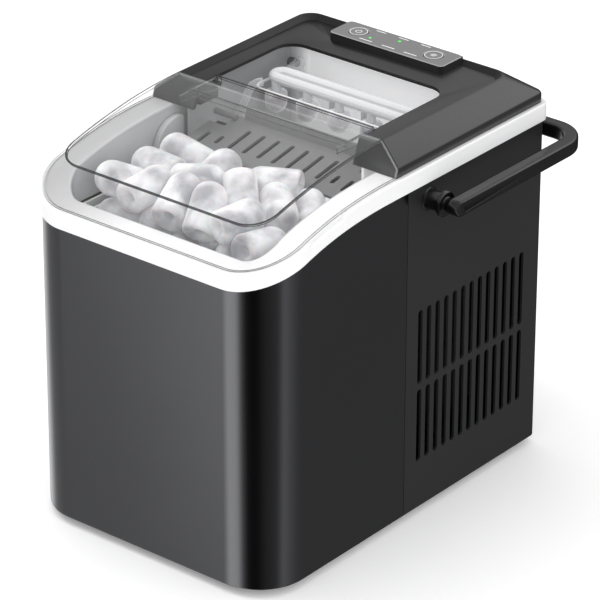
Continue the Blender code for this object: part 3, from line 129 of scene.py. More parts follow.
camera.data.clip_end = 20.0
scene.camera = camera
print("camera", round((stand - ORIGIN).length), "mm away, lens", CAMERA_LENS)

# %% [markdown]
# Finishes are written as sums. A small class wraps one socket of a material and gives it Python's operators,
# so that "0.3 + grain * 0.1" adds the Math nodes by itself. Any other node comes from one method.

# %% A value in a material, with Python's operators


class Term:
    """One value in a material. Arithmetic on it adds the Math node that does it."""

    def __init__(self, finish, socket):
        self.finish, self.socket = finish, socket

    def combine(self, operation, left, right):
        return self.finish.node("ShaderNodeMath", {"operation": operation}, {0: left, 1: right})

    def __add__(self, other):
        return self.combine("ADD", self, other)

    def __sub__(self, other):
        return self.combine("SUBTRACT", self, other)

    def __mul__(self, other):
        return self.combine("MULTIPLY", self, other)

    def __rsub__(self, other):
        return self.combine("SUBTRACT", other, self)

    def __pow__(self, other):
        return self.combine("POWER", self, other)

    def __gt__(self, other):
        return self.combine("GREATER_THAN", self, other)

    def __lt__(self, other):
        return self.combine("LESS_THAN", self, other)

    __radd__ = __add__
    __rmul__ = __mul__


class Finish:
    """A material under construction, round one Principled shader."""

    def __init__(self, name):
        self.material = bpy.data.materials.new(name)
        self.material.use_nodes = True
        self.tree = self.material.node_tree
        self.shader = self.tree.nodes["Principled BSDF"]
        self.place = self.node("ShaderNodeTexCoord", out="Object")

    def node(self, kind, settings=None, values=None, out=0):
        made = self.tree.nodes.new(kind)
        for key, value in (settings or {}).items():
            if key == "stops":
                ramp = made.color_ramp.elements
                while len(ramp) < len(value):
                    ramp.new(1.0)
                for stop, (position, color) in zip(ramp, value):
                    stop.position, stop.color = position, (*color, 1.0)
            else:
                setattr(made, key, value)
        for key, value in (values or {}).items():
            self.feed(made.inputs[key], value)
        return Term(self, made.outputs[out])

    def feed(self, socket, value):
        if isinstance(value, Term):
            self.tree.links.new(value.socket, socket)
        elif socket.type == "RGBA" and len(value) == 3:
            socket.default_value = (*value, 1.0)
        else:
            socket.default_value = value

    def surface(self, **values):
        for name, value in values.items():
            self.feed(self.shader.inputs[name.replace("_", " ").title().replace("Ior", "IOR")], value)
        return self.material

    def noise(self, scale, detail=2.0, stretch=(1.0, 1.0, 1.0)):
        """Soft noise from 0 to 1, whose grain is 1 / scale metres, stretched along an axis where asked."""
        spot = self.node("ShaderNodeMapping", None, {"Vector": self.place, "Scale": stretch})
        return self.node("ShaderNodeTexNoise", None, {"Vector": spot, "Scale": scale, "Detail": detail})

    def ramp(self, value, *stops):
        return self.node("ShaderNodeValToRGB", {"stops": stops}, {"Fac": value})

    def mix(self, share, first, second):
        """A colour between two others."""
        return self.node("ShaderNodeMix", {"data_type": "RGBA"}, {0: share, 6: first, 7: second}, out=2)

    def bump(self, height, strength, distance=0.0002):
        return self.node("ShaderNodeBump", None,
                         {"Height": height, "Strength": strength, "Distance": distance})

    def range(self, value, low, high, to_low=0.0, to_high=1.0):
        """Maps low..high to to_low..to_high, clamped."""
        return self.node("ShaderNodeMapRange", None, {0: value, 1: low, 2: high, 3: to_low, 4: to_high})

    def axis(self, name):
        return self.node("ShaderNodeSeparateXYZ", None, {0: self.place}, out=name)


print("shader helpers ready")

# %% [markdown]
# The body is sheet steel with a dark metallic lacquer. On the real machine it is mirror-soft: one bright
# strip and one dark strip run down the rounded corner. That comes from a metallic surface with low
# roughness. Lacquer is never perfectly even, so fine flakes and faint upright polishing lines vary its
# gloss.

# %% Metal lacquer for the body
def metal_lacquer():
    f = Finish("charcoal_lacquer")
    flakes = f.noise(5200.0, 1.0)
    polish = f.noise(900.0, 3.0, (1.0, 1.0, 0.012))
    cloud = f.noise(9.0, 2.0)
    color = f.mix(flakes * 0.35 + cloud * 0.2, (0.105, 0.106, 0.110), (0.150, 0.151, 0.156))
    rough = 0.15 + polish * 0.05 + cloud * 0.04
    return f.surface(base_color=color, metallic=1.0, roughness=rough,
                     normal=f.bump(polish + flakes * 0.4, 0.05, 0.00005))


# %% [markdown]
# Moulded plastics all have a fine spark-eroded grain, so one recipe makes them: a colour that drifts a
# little, a roughness that follows the grain and a shallow bump. Each piece asks for its own colour, gloss
# and grain.

# %% One recipe for moulded plastic
def plastic(name, color, roughness, grain=2600.0, depth=0.12, drift=0.06, dust=0.0, **more):
    f = Finish(name)
    fine = f.noise(grain, 2.0)
    cloud = f.noise(14.0, 3.0)
    low = [c * (1.0 - drift) for c in color]
    high = [min(c * (1.0 + drift), 1.0) for c in color]
    shade = f.mix(cloud, low, high)
    if dust:
        specks = f.range(f.noise(420.0, 4.0), 0.62, 0.72, 0.0, dust)
        shade = f.mix(specks, shade, (0.35, 0.34, 0.32))
    rough = f.range(fine * 0.6 + cloud * 0.4, 0.3, 0.7, roughness * 0.86, roughness * 1.14)
    return f.surface(base_color=shade, roughness=rough, normal=f.bump(fine, depth, 0.0001), **more)


# %% [markdown]
# Clear plastic shows itself by its edges: faces are nearly invisible, and the rim and the folds draw light
# and dark lines. Alpha rises with the viewing angle. Those lines are painted: nearly opaque finishes go on
# the cut edges and folds, dark ones as painted shade and pale ones as painted highlight.

# %% Clear plastic, faces and edges
def clear_plastic(name, color, faint, strong, power=2.2, roughness=0.06):
    f = Finish(name)
    tilt = f.node("ShaderNodeLayerWeight", None, {"Blend": 0.5}, out="Facing")
    haze = f.noise(30.0, 3.0)
    alpha = faint + (strong - faint) * tilt ** power + haze * faint * 0.35
    scuff = f.noise(260.0, 4.0, (1.0, 6.0, 1.0))
    return f.surface(base_color=f.mix(haze, [c * 0.96 for c in color], color), alpha=alpha,
                     roughness=f.range(scuff, 0.45, 0.8, roughness, roughness * 2.2), specular_ior_level=0.7)


# %% [markdown]
# Ice from such a machine is a hollow bullet: clear skin, cloudy core, frosted where it touched the metal
# finger. The skin is drawn by the viewing angle, with a painted highlight that whitens it towards the rims,
# the clouds by noise, and a little light scatters inside; a faint painted glow lifts the whole piece.

# %% Ice
def ice():
    f = Finish("ice")
    tilt = f.node("ShaderNodeLayerWeight", None, {"Blend": 0.5}, out="Facing")
    cloud = f.noise(48.0, 1.5)
    veins = f.noise(160.0, 2.0)
    core = f.range(cloud * 0.8 + veins * 0.2, 0.38, 0.60)
    body = f.mix(core, (0.46, 0.46, 0.49), (0.93, 0.93, 0.95))
    # Painted highlight: the colour whitens towards the rims as the surface turns away.
    tone_and_painted_rim_highlight = f.mix(tilt ** 2.4, body, (1.0, 1.0, 1.0))
    alpha = f.range(core * 0.35 + tilt ** 1.7, 0.0, 1.0, 0.54, 0.97)
    # A faint painted glow: the ice lights itself with its own colour.
    return f.surface(base_color=tone_and_painted_rim_highlight, alpha=alpha, roughness=0.10 + cloud * 0.12, specular_ior_level=0.6,
                     subsurface_weight=0.25, subsurface_scale=0.008, normal=f.bump(veins, 0.12, 0.0004),
                     emission_color=tone_and_painted_rim_highlight, emission_strength=0.05)


# %% [markdown]
# Bare metals: drawn copper tube and thin aluminium fins. They share a recipe too,
# with scratches drawn out along one axis.

# %% One recipe for bare metal
def bare_metal(name, color, roughness, stretch, tarnish):
    f = Finish(name)
    lines = f.noise(700.0, 3.0, stretch)
    patch = f.noise(60.0, 4.0)
    shade = f.mix(f.range(patch, 0.45, 0.7), color, tarnish)
    rough = roughness + lines * 0.12 + patch * 0.1
    return f.surface(base_color=shade, metallic=1.0, roughness=rough, normal=f.bump(lines, 0.12, 0.00005))


# %% [markdown]
# Three mouldings carry painted shade. The collar's ledge and the bay's left wall are painted greyer on the
# left, and the cover's crowned top leans its normals outwards and is also painted darker towards its left
# edge.

# %% Ledge, cover and bay
def ledge_painted_shade():
    """The collar's ledge under the lid: white on the right, with painted shade that greys it towards the
    left.
    """
    f = Finish("ledge_painted_shade")
    fine = f.noise(2600.0, 2.0)
    shade = f.mix(f.range(f.axis("X"), -0.10, -0.02), (0.42, 0.42, 0.425), (0.86, 0.86, 0.865))
    return f.surface(base_color=shade, roughness=0.28 + fine * 0.06, normal=f.bump(fine, 0.04, 0.0001))


def cover_painted_shade():
    """The cover's top is crowned a little: its normals lean outwards towards the left edge, and its colour is
    painted darker there as shade.
    """
    f = Finish("cover_grey_painted_shade")
    fine, cloud = f.noise(3600.0, 2.0), f.noise(14.0, 3.0)
    crown = f.range(f.axis("X"), -0.095, 0.02, 1.0, 0.0) ** 2.0
    shade = f.mix(cloud, (0.017, 0.017, 0.0175), (0.021, 0.021, 0.0215))
    # Painted shade: the base colour falls to near black towards the left edge.
    return f.surface(base_color=f.mix(crown * 2.0, shade, (0.001, 0.001, 0.001)),
                     roughness=0.24 + fine * 0.08, normal=f.bump(fine * 0.0012 - crown, 1.0, 0.0085))


def bay_liner_painted_shade_and_glow():
    """White inside the ice bay, with painted shade greying its left wall, which the cover keeps in shadow,
    and a faint painted glow over all of it.
    """
    f = Finish("bay_liner_painted_shade_and_glow")
    fine = f.noise(2400.0, 2.0)
    shade = f.mix(f.range(f.axis("X"), -0.0765, -0.066), (0.20, 0.202, 0.205), (0.93, 0.93, 0.935))
    # Painted light: the liner glows with its own colour.
    return f.surface(base_color=f.mix(fine * 0.04, shade, (0.7, 0.7, 0.7)), roughness=0.3 + fine * 0.1,
                     emission_color=shade, emission_strength=0.22, normal=f.bump(fine, 0.05, 0.0001))


# %% [markdown]
# Two small finishes are left: a circuit board with a pattern of tracks, and a light pipe that can be lit.

# %% Circuit board and light pipes
def circuit_board():
    f = Finish("circuit_board")
    tracks = f.node("ShaderNodeTexVoronoi", {"distance": "MANHATTAN"}, {"Vector": f.place, "Scale": 260.0})
    color = f.mix(f.range(tracks, 0.25, 0.3), (0.02, 0.16, 0.07), (0.01, 0.09, 0.04))
    return f.surface(base_color=color, roughness=0.35, normal=f.bump(tracks, 0.3, 0.0002))


def lamp(name, color, glow):
    """A light pipe, evenly lit or dark, with a fine sparkle in its moulding."""
    f = Finish(name)
    sparkle = f.noise(1800.0, 2.0)
    shade = f.mix(sparkle, [c * 0.8 for c in color], color)
    f.surface(base_color=shade, roughness=0.25, emission_color=shade, normal=f.bump(sparkle, 0.1, 0.0001))
    f.shader.inputs["Emission Strength"].default_value = glow
    return f.material


# %% The set of finishes
LACQUER = metal_lacquer()
HOUSING = plastic("housing_plastic", (0.0165, 0.0165, 0.0172), 0.42, 3200.0, 0.16)
SATIN_BLACK = plastic("satin_black_plastic", (0.003, 0.003, 0.0032), 0.24, 3400.0, 0.05)
# Near black: painted shade for the walls of the cover's recess, window and island, and the sheet under the
# scoop's slots.
PAINTED_SHADE_BLACK = plastic("painted_shade_black_plastic", (0.002, 0.002, 0.002), 0.62, 3000.0, 0.14)
COLLAR_WHITE = plastic("collar_white_plastic", (0.86, 0.86, 0.865), 0.30, 2600.0, 0.04, 0.015)
LINER = plastic("liner_plastic", (0.74, 0.745, 0.75), 0.38, 2400.0, 0.05, 0.03)
LEDGE_PAINTED_SHADE = ledge_painted_shade()
# A darker copy of the liner: painted shade on the collar's apron and the bay cheek.
LINER_PAINTED_SHADE = plastic("liner_painted_shade_plastic", (0.50, 0.505, 0.51), 0.36, 2400.0, 0.05, 0.04)
SCOOP_GREY = plastic("scoop_grey_plastic", (0.175, 0.175, 0.177), 0.42, 2400.0, 0.10, 0.05)
PANEL_GREY = plastic("panel_film", (0.17, 0.17, 0.172), 0.40, 5200.0, 0.22, 0.03)
PANEL_EDGE = plastic("panel_edge", (0.33, 0.33, 0.335), 0.32, 4200.0, 0.10, 0.03)
PRINT = plastic("panel_print", (0.92, 0.92, 0.93), 0.5, 6000.0, 0.05, 0.02)
RUBBER = plastic("rubber", (0.018, 0.018, 0.018), 0.8, 1500.0, 0.35, 0.15, 0.25)
DARK_ENAMEL = plastic("black_enamel", (0.005, 0.005, 0.0055), 0.45, 900.0, 0.06, 0.2, specular_ior_level=0.12)
# Painted shade: the housing's inside, darker and duller than its outside.
HOUSING_INSIDE_PAINTED_SHADE = plastic("housing_inside_painted_shade", (0.004, 0.004, 0.004), 0.6, 1600.0, 0.1, specular_ior_level=0.05)
FOAM = plastic("foam", (0.72, 0.66, 0.45), 0.9, 900.0, 0.7, 0.1)
CLEAR = clear_plastic("clear_plastic", (0.78, 0.785, 0.79), 0.008, 0.34, 3.6)
CLEAR_FLAT = clear_plastic("clear_flat", (0.80, 0.805, 0.81), 0.004, 0.10, 3.0)
CLEAR_PAINTED_SHADE_LINE = clear_plastic("clear_painted_shade_line", (0.02, 0.021, 0.022), 0.72, 0.96, 1.0, 0.10)
# Pale and nearly opaque: painted highlight on the tray's rim and on the cut edges of clear parts.
CLEAR_PAINTED_HIGHLIGHT = clear_plastic("clear_painted_highlight", (0.97, 0.975, 0.98), 0.45, 0.95, 1.0, 0.06)
CLEAR_RIM_PAINTED_HIGHLIGHT = clear_plastic("clear_rim_painted_highlight", (0.90, 0.91, 0.92), 0.14, 0.75, 1.8, 0.08)
ICE = ice()
COPPER = bare_metal("copper_tube", (0.72, 0.40, 0.26), 0.22, (1.0, 1.0, 0.1), (0.42, 0.24, 0.16))
ALUMINIUM = bare_metal("aluminium_fins", (0.66, 0.67, 0.68), 0.32, (1.0, 1.0, 0.03), (0.5, 0.5, 0.5))
FROST = plastic("frost", (0.66, 0.665, 0.675), 0.42, 900.0, 0.35, 0.05)
COVER_GREY_PAINTED_SHADE = cover_painted_shade()
BAY_LINER_PAINTED_SHADE_AND_GLOW = bay_liner_painted_shade_and_glow()
BOARD = circuit_board()
LAMP_LIT = lamp("lamp_lit", (0.01, 0.85, 0.03), 1.25)
LAMP_DARK = lamp("lamp_dark", (0.24, 0.24, 0.245), 0.0)
print("finishes:", len(bpy.data.materials))

# %% [markdown]
# Every piece ends the same way: millimetres about the body become metres in the frame, faces point outwards,
# curved faces are shaded smooth up to a crease angle, and the piece rides on the body that it belongs to.

# %% Turning a drawing into a piece
TO_FRAME = Matrix.Scale(MM, 4) @ Matrix.Translation(ORIGIN)


def draw(name, bm, finish, crease=30.0, outward=True):
    """An object from a bmesh drawn in millimetres. finish is one material or several, in slot order."""
    if outward:
        bmesh.ops.recalc_face_normals(bm, faces=bm.faces)
    bmesh.ops.transform(bm, matrix=TO_FRAME, verts=bm.verts)
    mesh = bpy.data.meshes.new(name)
    bm.to_mesh(mesh)
    bm.free()
    for one in finish if isinstance(finish, (list, tuple)) else [finish]:
        mesh.materials.append(one)
    mesh.shade_smooth()
    mesh.set_sharp_from_angle(angle=math.radians(crease))
    obj = bpy.data.objects.new(name, mesh)
    scene.collection.objects.link(obj)
    return obj


def settle(obj, crease=30.0):
    """Replaces an object's mesh by what its modifiers make of it, then drops them and their cutters."""
    made = bpy.data.meshes.new_from_object(obj.evaluated_get(bpy.context.evaluated_depsgraph_get()))
    spent = [m.object for m in obj.modifiers if m.type == "BOOLEAN" and m.object]
    obj.modifiers.clear()
    obj.data = made
    for tool in spent:
        bpy.data.objects.remove(tool)
    made.shade_smooth()
    made.set_sharp_from_angle(angle=math.radians(crease))
    return obj


def modifier(obj, kind, **settings):
    mod = obj.modifiers.new(kind.lower(), kind)
    for key, value in settings.items():
        setattr(mod, key, value)
    return obj


def cut(obj, *tools, operation="DIFFERENCE"):
    for tool in tools:
        modifier(obj, "BOOLEAN", object=tool, operation=operation, solver="EXACT")
        tool.hide_render = True
    return obj


def round_edges(obj, width, segments=2, angle=35.0):
    modifier(obj, "BEVEL", width=width * MM, segments=segments, limit_method="ANGLE",
             angle_limit=math.radians(angle), harden_normals=False)
    return obj


def finished(obj, body, *stands_for, slot=None):
    """The piece rides on its body and stands for the frame's plainer pieces."""
    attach(obj, body)
    if stands_for:
        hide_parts(*stands_for)
    print(f"{obj.name}: {len(obj.data.polygons)} faces, rides on {body}")
    return obj


# %% [markdown]
# Most of the machine is a plan line drawn at several heights. A loft joins such rings with quads,
# and a fillet between two rings is a curve from one to the next, taken point by point.

# %% Outlines and lofts
def rounded_outline(x0, x1, y0, y1, radii, steps=10):
    """A closed rectangle. radii are for the corners (x0, y0), (x1, y0), (x1, y1), (x0, y1)."""
    corners = ((x0, y0, 1, 1, 180), (x1, y0, -1, 1, 270), (x1, y1, -1, -1, 0), (x0, y1, 1, -1, 90))
    points = []
    for (x, y, sx, sy, first), r in zip(corners, radii):
        for i in range(steps + 1 if r > 0 else 1):
            a = math.radians(first + 90.0 * i / steps)
            points.append((x + sx * r + r * math.cos(a), y + sy * r + r * math.sin(a)))
    return points


def loft(rings, closed=True, cap=True, marks=()):
    """Joins rings of equally many points. Bands whose index is in marks take the second material."""
    bm = bmesh.new()
    rows = [[bm.verts.new(p) for p in ring] for ring in rings]
    count = len(rows[0])
    for band, (low, high) in enumerate(zip(rows, rows[1:])):
        for i in range(count if closed else count - 1):
            j = (i + 1) % count
            face = bm.faces.new((low[i], low[j], high[j], high[i]))
            face.material_index = 1 if band in marks else 0
    if closed and cap:
        bm.faces.new(rows[0][::-1])
        bm.faces.new(rows[-1])
    return bm


def prism(outline, z0, z1, marks=()):
    return loft([[(x, y, z) for x, y in outline] for z in (z0, z1)], marks=marks)


def side_prism(outline, x0, x1):
    """A prism along X whose outline is drawn in the YZ plane."""
    return loft([[(x, y, z) for y, z in outline] for x in (x0, x1)])


def fillet(start, corner, end, steps=4):
    """Rings that curve from one ring to another, pulled towards the corner ring between them."""
    rings = []
    for k in range(steps + 1):
        t = k / steps
        shares = ((1 - t) ** 2, 2 * t * (1 - t), t * t)
        rings.append([sum((Vector(p) * w for p, w in zip(trio, shares)), Vector())
                      for trio in zip(start, corner, end)])
    return rings


def toward(ring, other, distance):
    """A ring moved towards another by a distance."""
    moved = []
    for p, q in zip(ring, other):
        step = Vector(q) - Vector(p)
        moved.append(Vector(p) + step * min(distance / max(step.length, 1e-6), 1.0))
    return moved


def box(low, high):
    bm = bmesh.new()
    bmesh.ops.create_cube(bm, size=1.0)
    bmesh.ops.scale(bm, vec=Vector(high) - Vector(low), verts=bm.verts)
    bmesh.ops.translate(bm, vec=(Vector(high) + Vector(low)) / 2, verts=bm.verts)
    return bm


AXIS_TURN = {"Z": Matrix.Identity(4), "X": Matrix.Rotation(math.pi / 2, 4, "Y"),
             "Y": Matrix.Rotation(-math.pi / 2, 4, "X")}


def turned(profile, centre, axis="Z", segments=48):
    """A solid of revolution from (radius, along axis) pairs."""
    bm = bmesh.new()
    line = [bm.verts.new((r, 0.0, h)) for r, h in profile]
    edges = [bm.edges.new(pair) for pair in zip(line, line[1:])]
    bmesh.ops.spin(bm, geom=line + edges, axis=(0, 0, 1), cent=(0, 0, 0), steps=segments, angle=2 * math.pi)
    bmesh.ops.remove_doubles(bm, verts=bm.verts, dist=0.001)
    bmesh.ops.transform(bm, matrix=Matrix.Translation(centre) @ AXIS_TURN[axis], verts=bm.verts)
    return bm


print("drawing helpers ready")

# %% [markdown]
# The body's plan has wide round corners at the front and tight ones at the back. Its top edge is level over
# the rear half and then falls in a smooth curve to the front, and the white band follows it.

# %% The body's plan and its falling rim
FRONT_RADIUS = 38.6
REAR_RADIUS = 6.0
SHELL_WALL = 1.8
RIM_FALL_START = -18.0
RIM_DROP = 27.0
collar_high = local("collar")[1]
RIM_HEIGHT = collar_high.z
BAND_PROUD = collar_high.x - HALF_W
BAND_HEIGHT = 13.3


def fall(y, power):
    share = max(0.0, (RIM_FALL_START - y) / (RIM_FALL_START - FRONT))
    return RIM_DROP * min(share, 1.02) ** power


def rim_z(y):
    return RIM_HEIGHT - fall(y, 2.35)


def band_z(y):
    """The band's lower edge, which the shells meet."""
    return RIM_HEIGHT - BAND_HEIGHT - fall(y, 2.55)


def front_plan(inset, y_back, side_steps=44, corner_steps=22, front=FRONT, radius=FRONT_RADIUS,
               half_w=HALF_W):
    """From the back on the left, round the front, to the back on the right."""
    half, edge, r = half_w - inset, front + inset, max(radius - inset, 0.5)
    left = [(-half, y_back + (edge + r - y_back) * i / side_steps) for i in range(side_steps)]
    for i in range(corner_steps + 1):
        a = math.pi + math.pi / 2 * i / corner_steps
        left.append((-half + r + r * math.cos(a), edge + r + r * math.sin(a)))
    return left + [(-x, y) for x, y in reversed(left)]


def rear_plan(inset, y_front, corner_steps=10):
    """From the front on the right, round the back, to the front on the left."""
    half, edge, r = HALF_W - inset, REAR - inset, max(REAR_RADIUS - inset, 0.5)
    right_side = [(half, y_front)]
    for i in range(corner_steps + 1):
        a = math.pi / 2 * i / corner_steps
        right_side.append((half - r + r * math.cos(a), edge - r + r * math.sin(a)))
    return right_side + [(-x, y) for x, y in reversed(right_side)]


print(f"rim {rim_z(0):.1f} at the back, {rim_z(FRONT):.1f} at the front")

# %% [markdown]
# The front shell is one sheet bent round three sides. It could be a box with bevelled corners, but a loft
# of the plan line keeps the big radius exact. The bottom edge is rolled in, and the sheet gets its
# thickness last.

# %% Front shell
def shell_rings(plan, ease=1.4, hem=4.0):
    """A hem under the bottom edge, a rolled corner and the upright wall."""
    def ring(inset, z_of):
        return [(x, y, z_of(edge_y)) for (x, y), (_, edge_y) in zip(plan(inset), plan(0.0))]

    rings = [ring(hem, lambda y: 0.0)]
    for i in range(5):
        a = math.pi / 2 * i / 4
        rings.append(ring(ease * (1 - math.sin(a)), lambda y, a=a: ease * (1 - math.cos(a))))
    rings.append(ring(0.0, lambda y: band_z(y) - GAP))
    return rings


front_rings = shell_rings(lambda inset: front_plan(inset, SEAM - GAP * 2))
front_shell = draw("front_panel", loft(front_rings, closed=False), LACQUER, 40.0, outward=False)
modifier(front_shell, "SOLIDIFY", thickness=SHELL_WALL * MM, offset=-1.0, use_even_offset=True)
settle(front_shell, 40.0)
finished(front_shell, "chassis", "front_shell", slot="charcoal_shell")

# %% [markdown]
# Things in rows, the vent slots and the ice on the fingers, come from one Geometry Nodes tree: a line of
# points, the piece set on each, made real and given its finish. The tree's inputs are the count, the start
# and the step.

# %% A Geometry Nodes tree, built a node at a time


class Graph:
    """A Geometry Nodes tree with named inputs."""

    KINDS = {int: "NodeSocketInt", float: "NodeSocketFloat", Vector: "NodeSocketVector",
             bpy.types.Object: "NodeSocketObject", bpy.types.Material: "NodeSocketMaterial"}

    def __init__(self, name, **inputs):
        self.tree = bpy.data.node_groups.new(name, "GeometryNodeTree")
        self.tree.interface.new_socket("Geometry", in_out="OUTPUT", socket_type="NodeSocketGeometry")
        self.tree.interface.new_socket("Geometry", in_out="INPUT", socket_type="NodeSocketGeometry")
        self.sockets = {}
        for key, kind in inputs.items():
            item = self.tree.interface.new_socket(key, in_out="INPUT", socket_type=self.KINDS[kind])
            self.sockets[key] = item.identifier
        self.source = self.tree.nodes.new("NodeGroupInput")
        self.sink = self.tree.nodes.new("NodeGroupOutput")

    def size(self, name):
        return self.source.outputs[name]

    def add(self, kind, settings=None, values=None, out=0):
        node = self.tree.nodes.new(kind)
        for key, value in (settings or {}).items():
            setattr(node, key, value)
        for key, value in (values or {}).items():
            if isinstance(value, bpy.types.NodeSocket):
                self.tree.links.new(value, node.inputs[key])
            else:
                node.inputs[key].default_value = value
        return node.outputs[out]

    def finish(self, instances, finish):
        """Makes instances real, gives them their finish and ends the tree."""
        real = self.add("GeometryNodeRealizeInstances", None, {"Geometry": instances})
        dressed = self.add("GeometryNodeSetMaterial", None, {"Geometry": real, "Material": finish})
        self.tree.links.new(dressed, self.sink.inputs[0])
        return self


def grow(graph, name, mesh, crease=30.0, **values):
    """Runs a tree on a mesh once and keeps the result as a plain object."""
    obj = bpy.data.objects.new(name, mesh)
    scene.collection.objects.link(obj)
    mod = obj.modifiers.new("graph", "NODES")
    mod.node_group = graph.tree
    for key, value in values.items():
        mod[graph.sockets[key]] = list(value) if isinstance(value, Vector) else value
    return settle(obj, crease)


def row_graph():
    g = Graph("row", Piece=bpy.types.Object, Count=int, Start=Vector, Step=Vector, Finish=bpy.types.Material)
    line = g.add("GeometryNodeMeshLine", None, {"Count": g.size("Count"), "Start Location": g.size("Start"),
                                                "Offset": g.size("Step")})
    piece = g.add("GeometryNodeObjectInfo", None, {"Object": g.size("Piece")}, out="Geometry")
    copies = g.add("GeometryNodeInstanceOnPoints", None, {"Points": line, "Instance": piece})
    return g.finish(copies, g.size("Finish"))


ROW = row_graph()


def row(name, pattern, count, step, start=(0.0, 0.0, 0.0), crease=30.0):
    """Copies of a pattern object along a line, step given in millimetres. The pattern object is used up."""
    made = grow(ROW, name, bpy.data.meshes.new(name), crease, Piece=pattern, Count=count,
                Start=Vector(start) * MM, Step=Vector(step) * MM, Finish=pattern.data.materials[0])
    bpy.data.objects.remove(pattern)
    return made


print("row tree:", len(ROW.tree.nodes), "nodes")

# %% [markdown]
# The rear housing is moulded in dark grained plastic. Two rows of upright slots let the air through on each
# side. The slots are cut by a row of rounded bars, and a small bevel catches the light round each opening.

# %% Rear housing and its vents
VENT_COLUMNS = 13
VENT_PITCH = 9.9
VENT_WIDTH = 5.2
VENT_LENGTHS = (57.6, 58.2)
VENT_BASE = 38.6
VENT_ROW_GAP = 4.5
VENT_FROM_SEAM = 16.0
gland_low, gland_high = local("cord_gland")
GLAND = Vector(((gland_low.x + gland_high.x) / 2, REAR, (gland_low.z + gland_high.z) / 2))


def vent_cutters():
    bars = []
    base = VENT_BASE
    for length in VENT_LENGTHS:
        half = VENT_WIDTH / 2
        outline = [(y, z) for y, z in rounded_outline(-half, half, 0.0, length, (half,) * 4, 6)]
        bar = draw("vent_bar", side_prism(outline, -HALF_W - 8, HALF_W + 8), HOUSING)
        bars.append(row("vent_row", bar, VENT_COLUMNS, (0, VENT_PITCH, 0), (0, SEAM + VENT_FROM_SEAM, base)))
        base += length + VENT_ROW_GAP
    return bars


# The inside faces take a near-black, dull finish: painted shade behind the vents.
rear_housing = draw("rear_case", loft(shell_rings(lambda inset: rear_plan(inset, SEAM)), closed=False),
                    [HOUSING, HOUSING_INSIDE_PAINTED_SHADE], 40.0, outward=False)
modifier(rear_housing, "SOLIDIFY", thickness=SHELL_WALL * MM, offset=-1.0, use_even_offset=True,
         material_offset=1)
gland_bore = draw("gland_bore", turned([(0, -20), (6.3, -20), (6.3, 20), (0, 20)], GLAND, "Y"), HOUSING)
cut(rear_housing, *vent_cutters(), gland_bore)
round_edges(rear_housing, 0.35, 2, 50.0)
settle(rear_housing, 22.0)
finished(rear_housing, "chassis", "rear_housing", slot="black_plastic")

# %% [markdown]
# The collar is one white moulding: a proud band outside, a flat ledge that the lid closes on, and an apron
# down to the tub. Its section is a closed line carried round the plan, so every edge can have a real
# radius. Halfway along each side the band dips, to let a finger under the lid.

# %% Collar
NOTCH_FRONT, NOTCH_REAR, NOTCH_DEPTH = -113.0, -76.0, 3.6
tub_high = local("inner_tub")[1]
APRON_BOTTOM = tub_high.z + GAP
APRON_INSET = HALF_W - tub_high.x - 2.3
APRON_BANDS = 10


def notch(y):
    """1 inside the finger notch, easing to 0 at both ends."""
    ease = 1.2
    return max(0.0, min(1.0, (y - NOTCH_FRONT) / ease, (NOTCH_REAR - y) / ease))


def collar_plan(inset):
    return front_plan(inset, SEAM, 100) + rear_plan(inset, SEAM)[1:-1]


def level(inset, z_of, lift=0.0, dip=0.0):
    return [(x, y, z_of(edge_y) + lift - dip * notch(edge_y))
            for (x, y), (_, edge_y) in zip(collar_plan(inset), collar_plan(0.0))]


def collar_rings():
    outside, soft = -BAND_PROUD, 0.9
    bottom = fillet(level(outside + soft, band_z), level(outside, band_z), level(outside, band_z, soft), 4)
    top = fillet(level(outside, rim_z, -1.4, NOTCH_DEPTH), level(outside, rim_z, 0.0, NOTCH_DEPTH),
                 level(outside + 1.4, rim_z, 0.0, NOTCH_DEPTH), 5)
    groove = [level(0.9, rim_z, 0.0, NOTCH_DEPTH), level(1.3, rim_z)]
    inner = fillet(level(APRON_INSET - 2.0, rim_z), level(APRON_INSET, rim_z),
                   level(APRON_INSET, rim_z, -2.0), 4)
    apron = [level(APRON_INSET, lambda y: APRON_BOTTOM), level(APRON_INSET - 2.1, lambda y: APRON_BOTTOM),
             level(APRON_INSET - 2.1, rim_z, -3.0), level(0.9, rim_z, -3.9), level(0.9, band_z)]
    return bottom + top + groove + inner + apron


rings = collar_rings()
per_ring = len(rings[0])
# The inner fillet and apron bands take the liner finish painted grey as shade.
first_apron = len(rings) - APRON_BANDS
collar_mesh = loft(rings + [rings[0]], cap=False, marks=range(first_apron, len(rings)))
# The ledge band takes the ledge finish, with painted shade on its left.
for face in collar_mesh.faces[:][(first_apron - 1) * per_ring:first_apron * per_ring]:
    face.material_index = 2
bmesh.ops.remove_doubles(collar_mesh, verts=collar_mesh.verts, dist=0.001)
collar = draw("rim_collar", collar_mesh, [COLLAR_WHITE, LINER_PAINTED_SHADE, LEDGE_PAINTED_SHADE], 32.0)
motor_low, motor_high = local("tray_motor")
motor_room = draw("motor_room", box((motor_low.x - 3, motor_low.y - 3, APRON_BOTTOM - 5),
                                    (motor_high.x + 2, motor_high.y + 3, RIM_HEIGHT + 5)), COLLAR_WHITE)
cut(collar, motor_room)
settle(collar, 32.0)
finished(collar, "chassis", "collar", slot="white_plastic")

# %% [markdown]
# The cover closes the machine's rear half: an upright band, a wide sloping shoulder, a sunk top with a window
# over the ice bay, and an island for the controls. It is lofted, hollowed, cut and then bevelled as a whole.

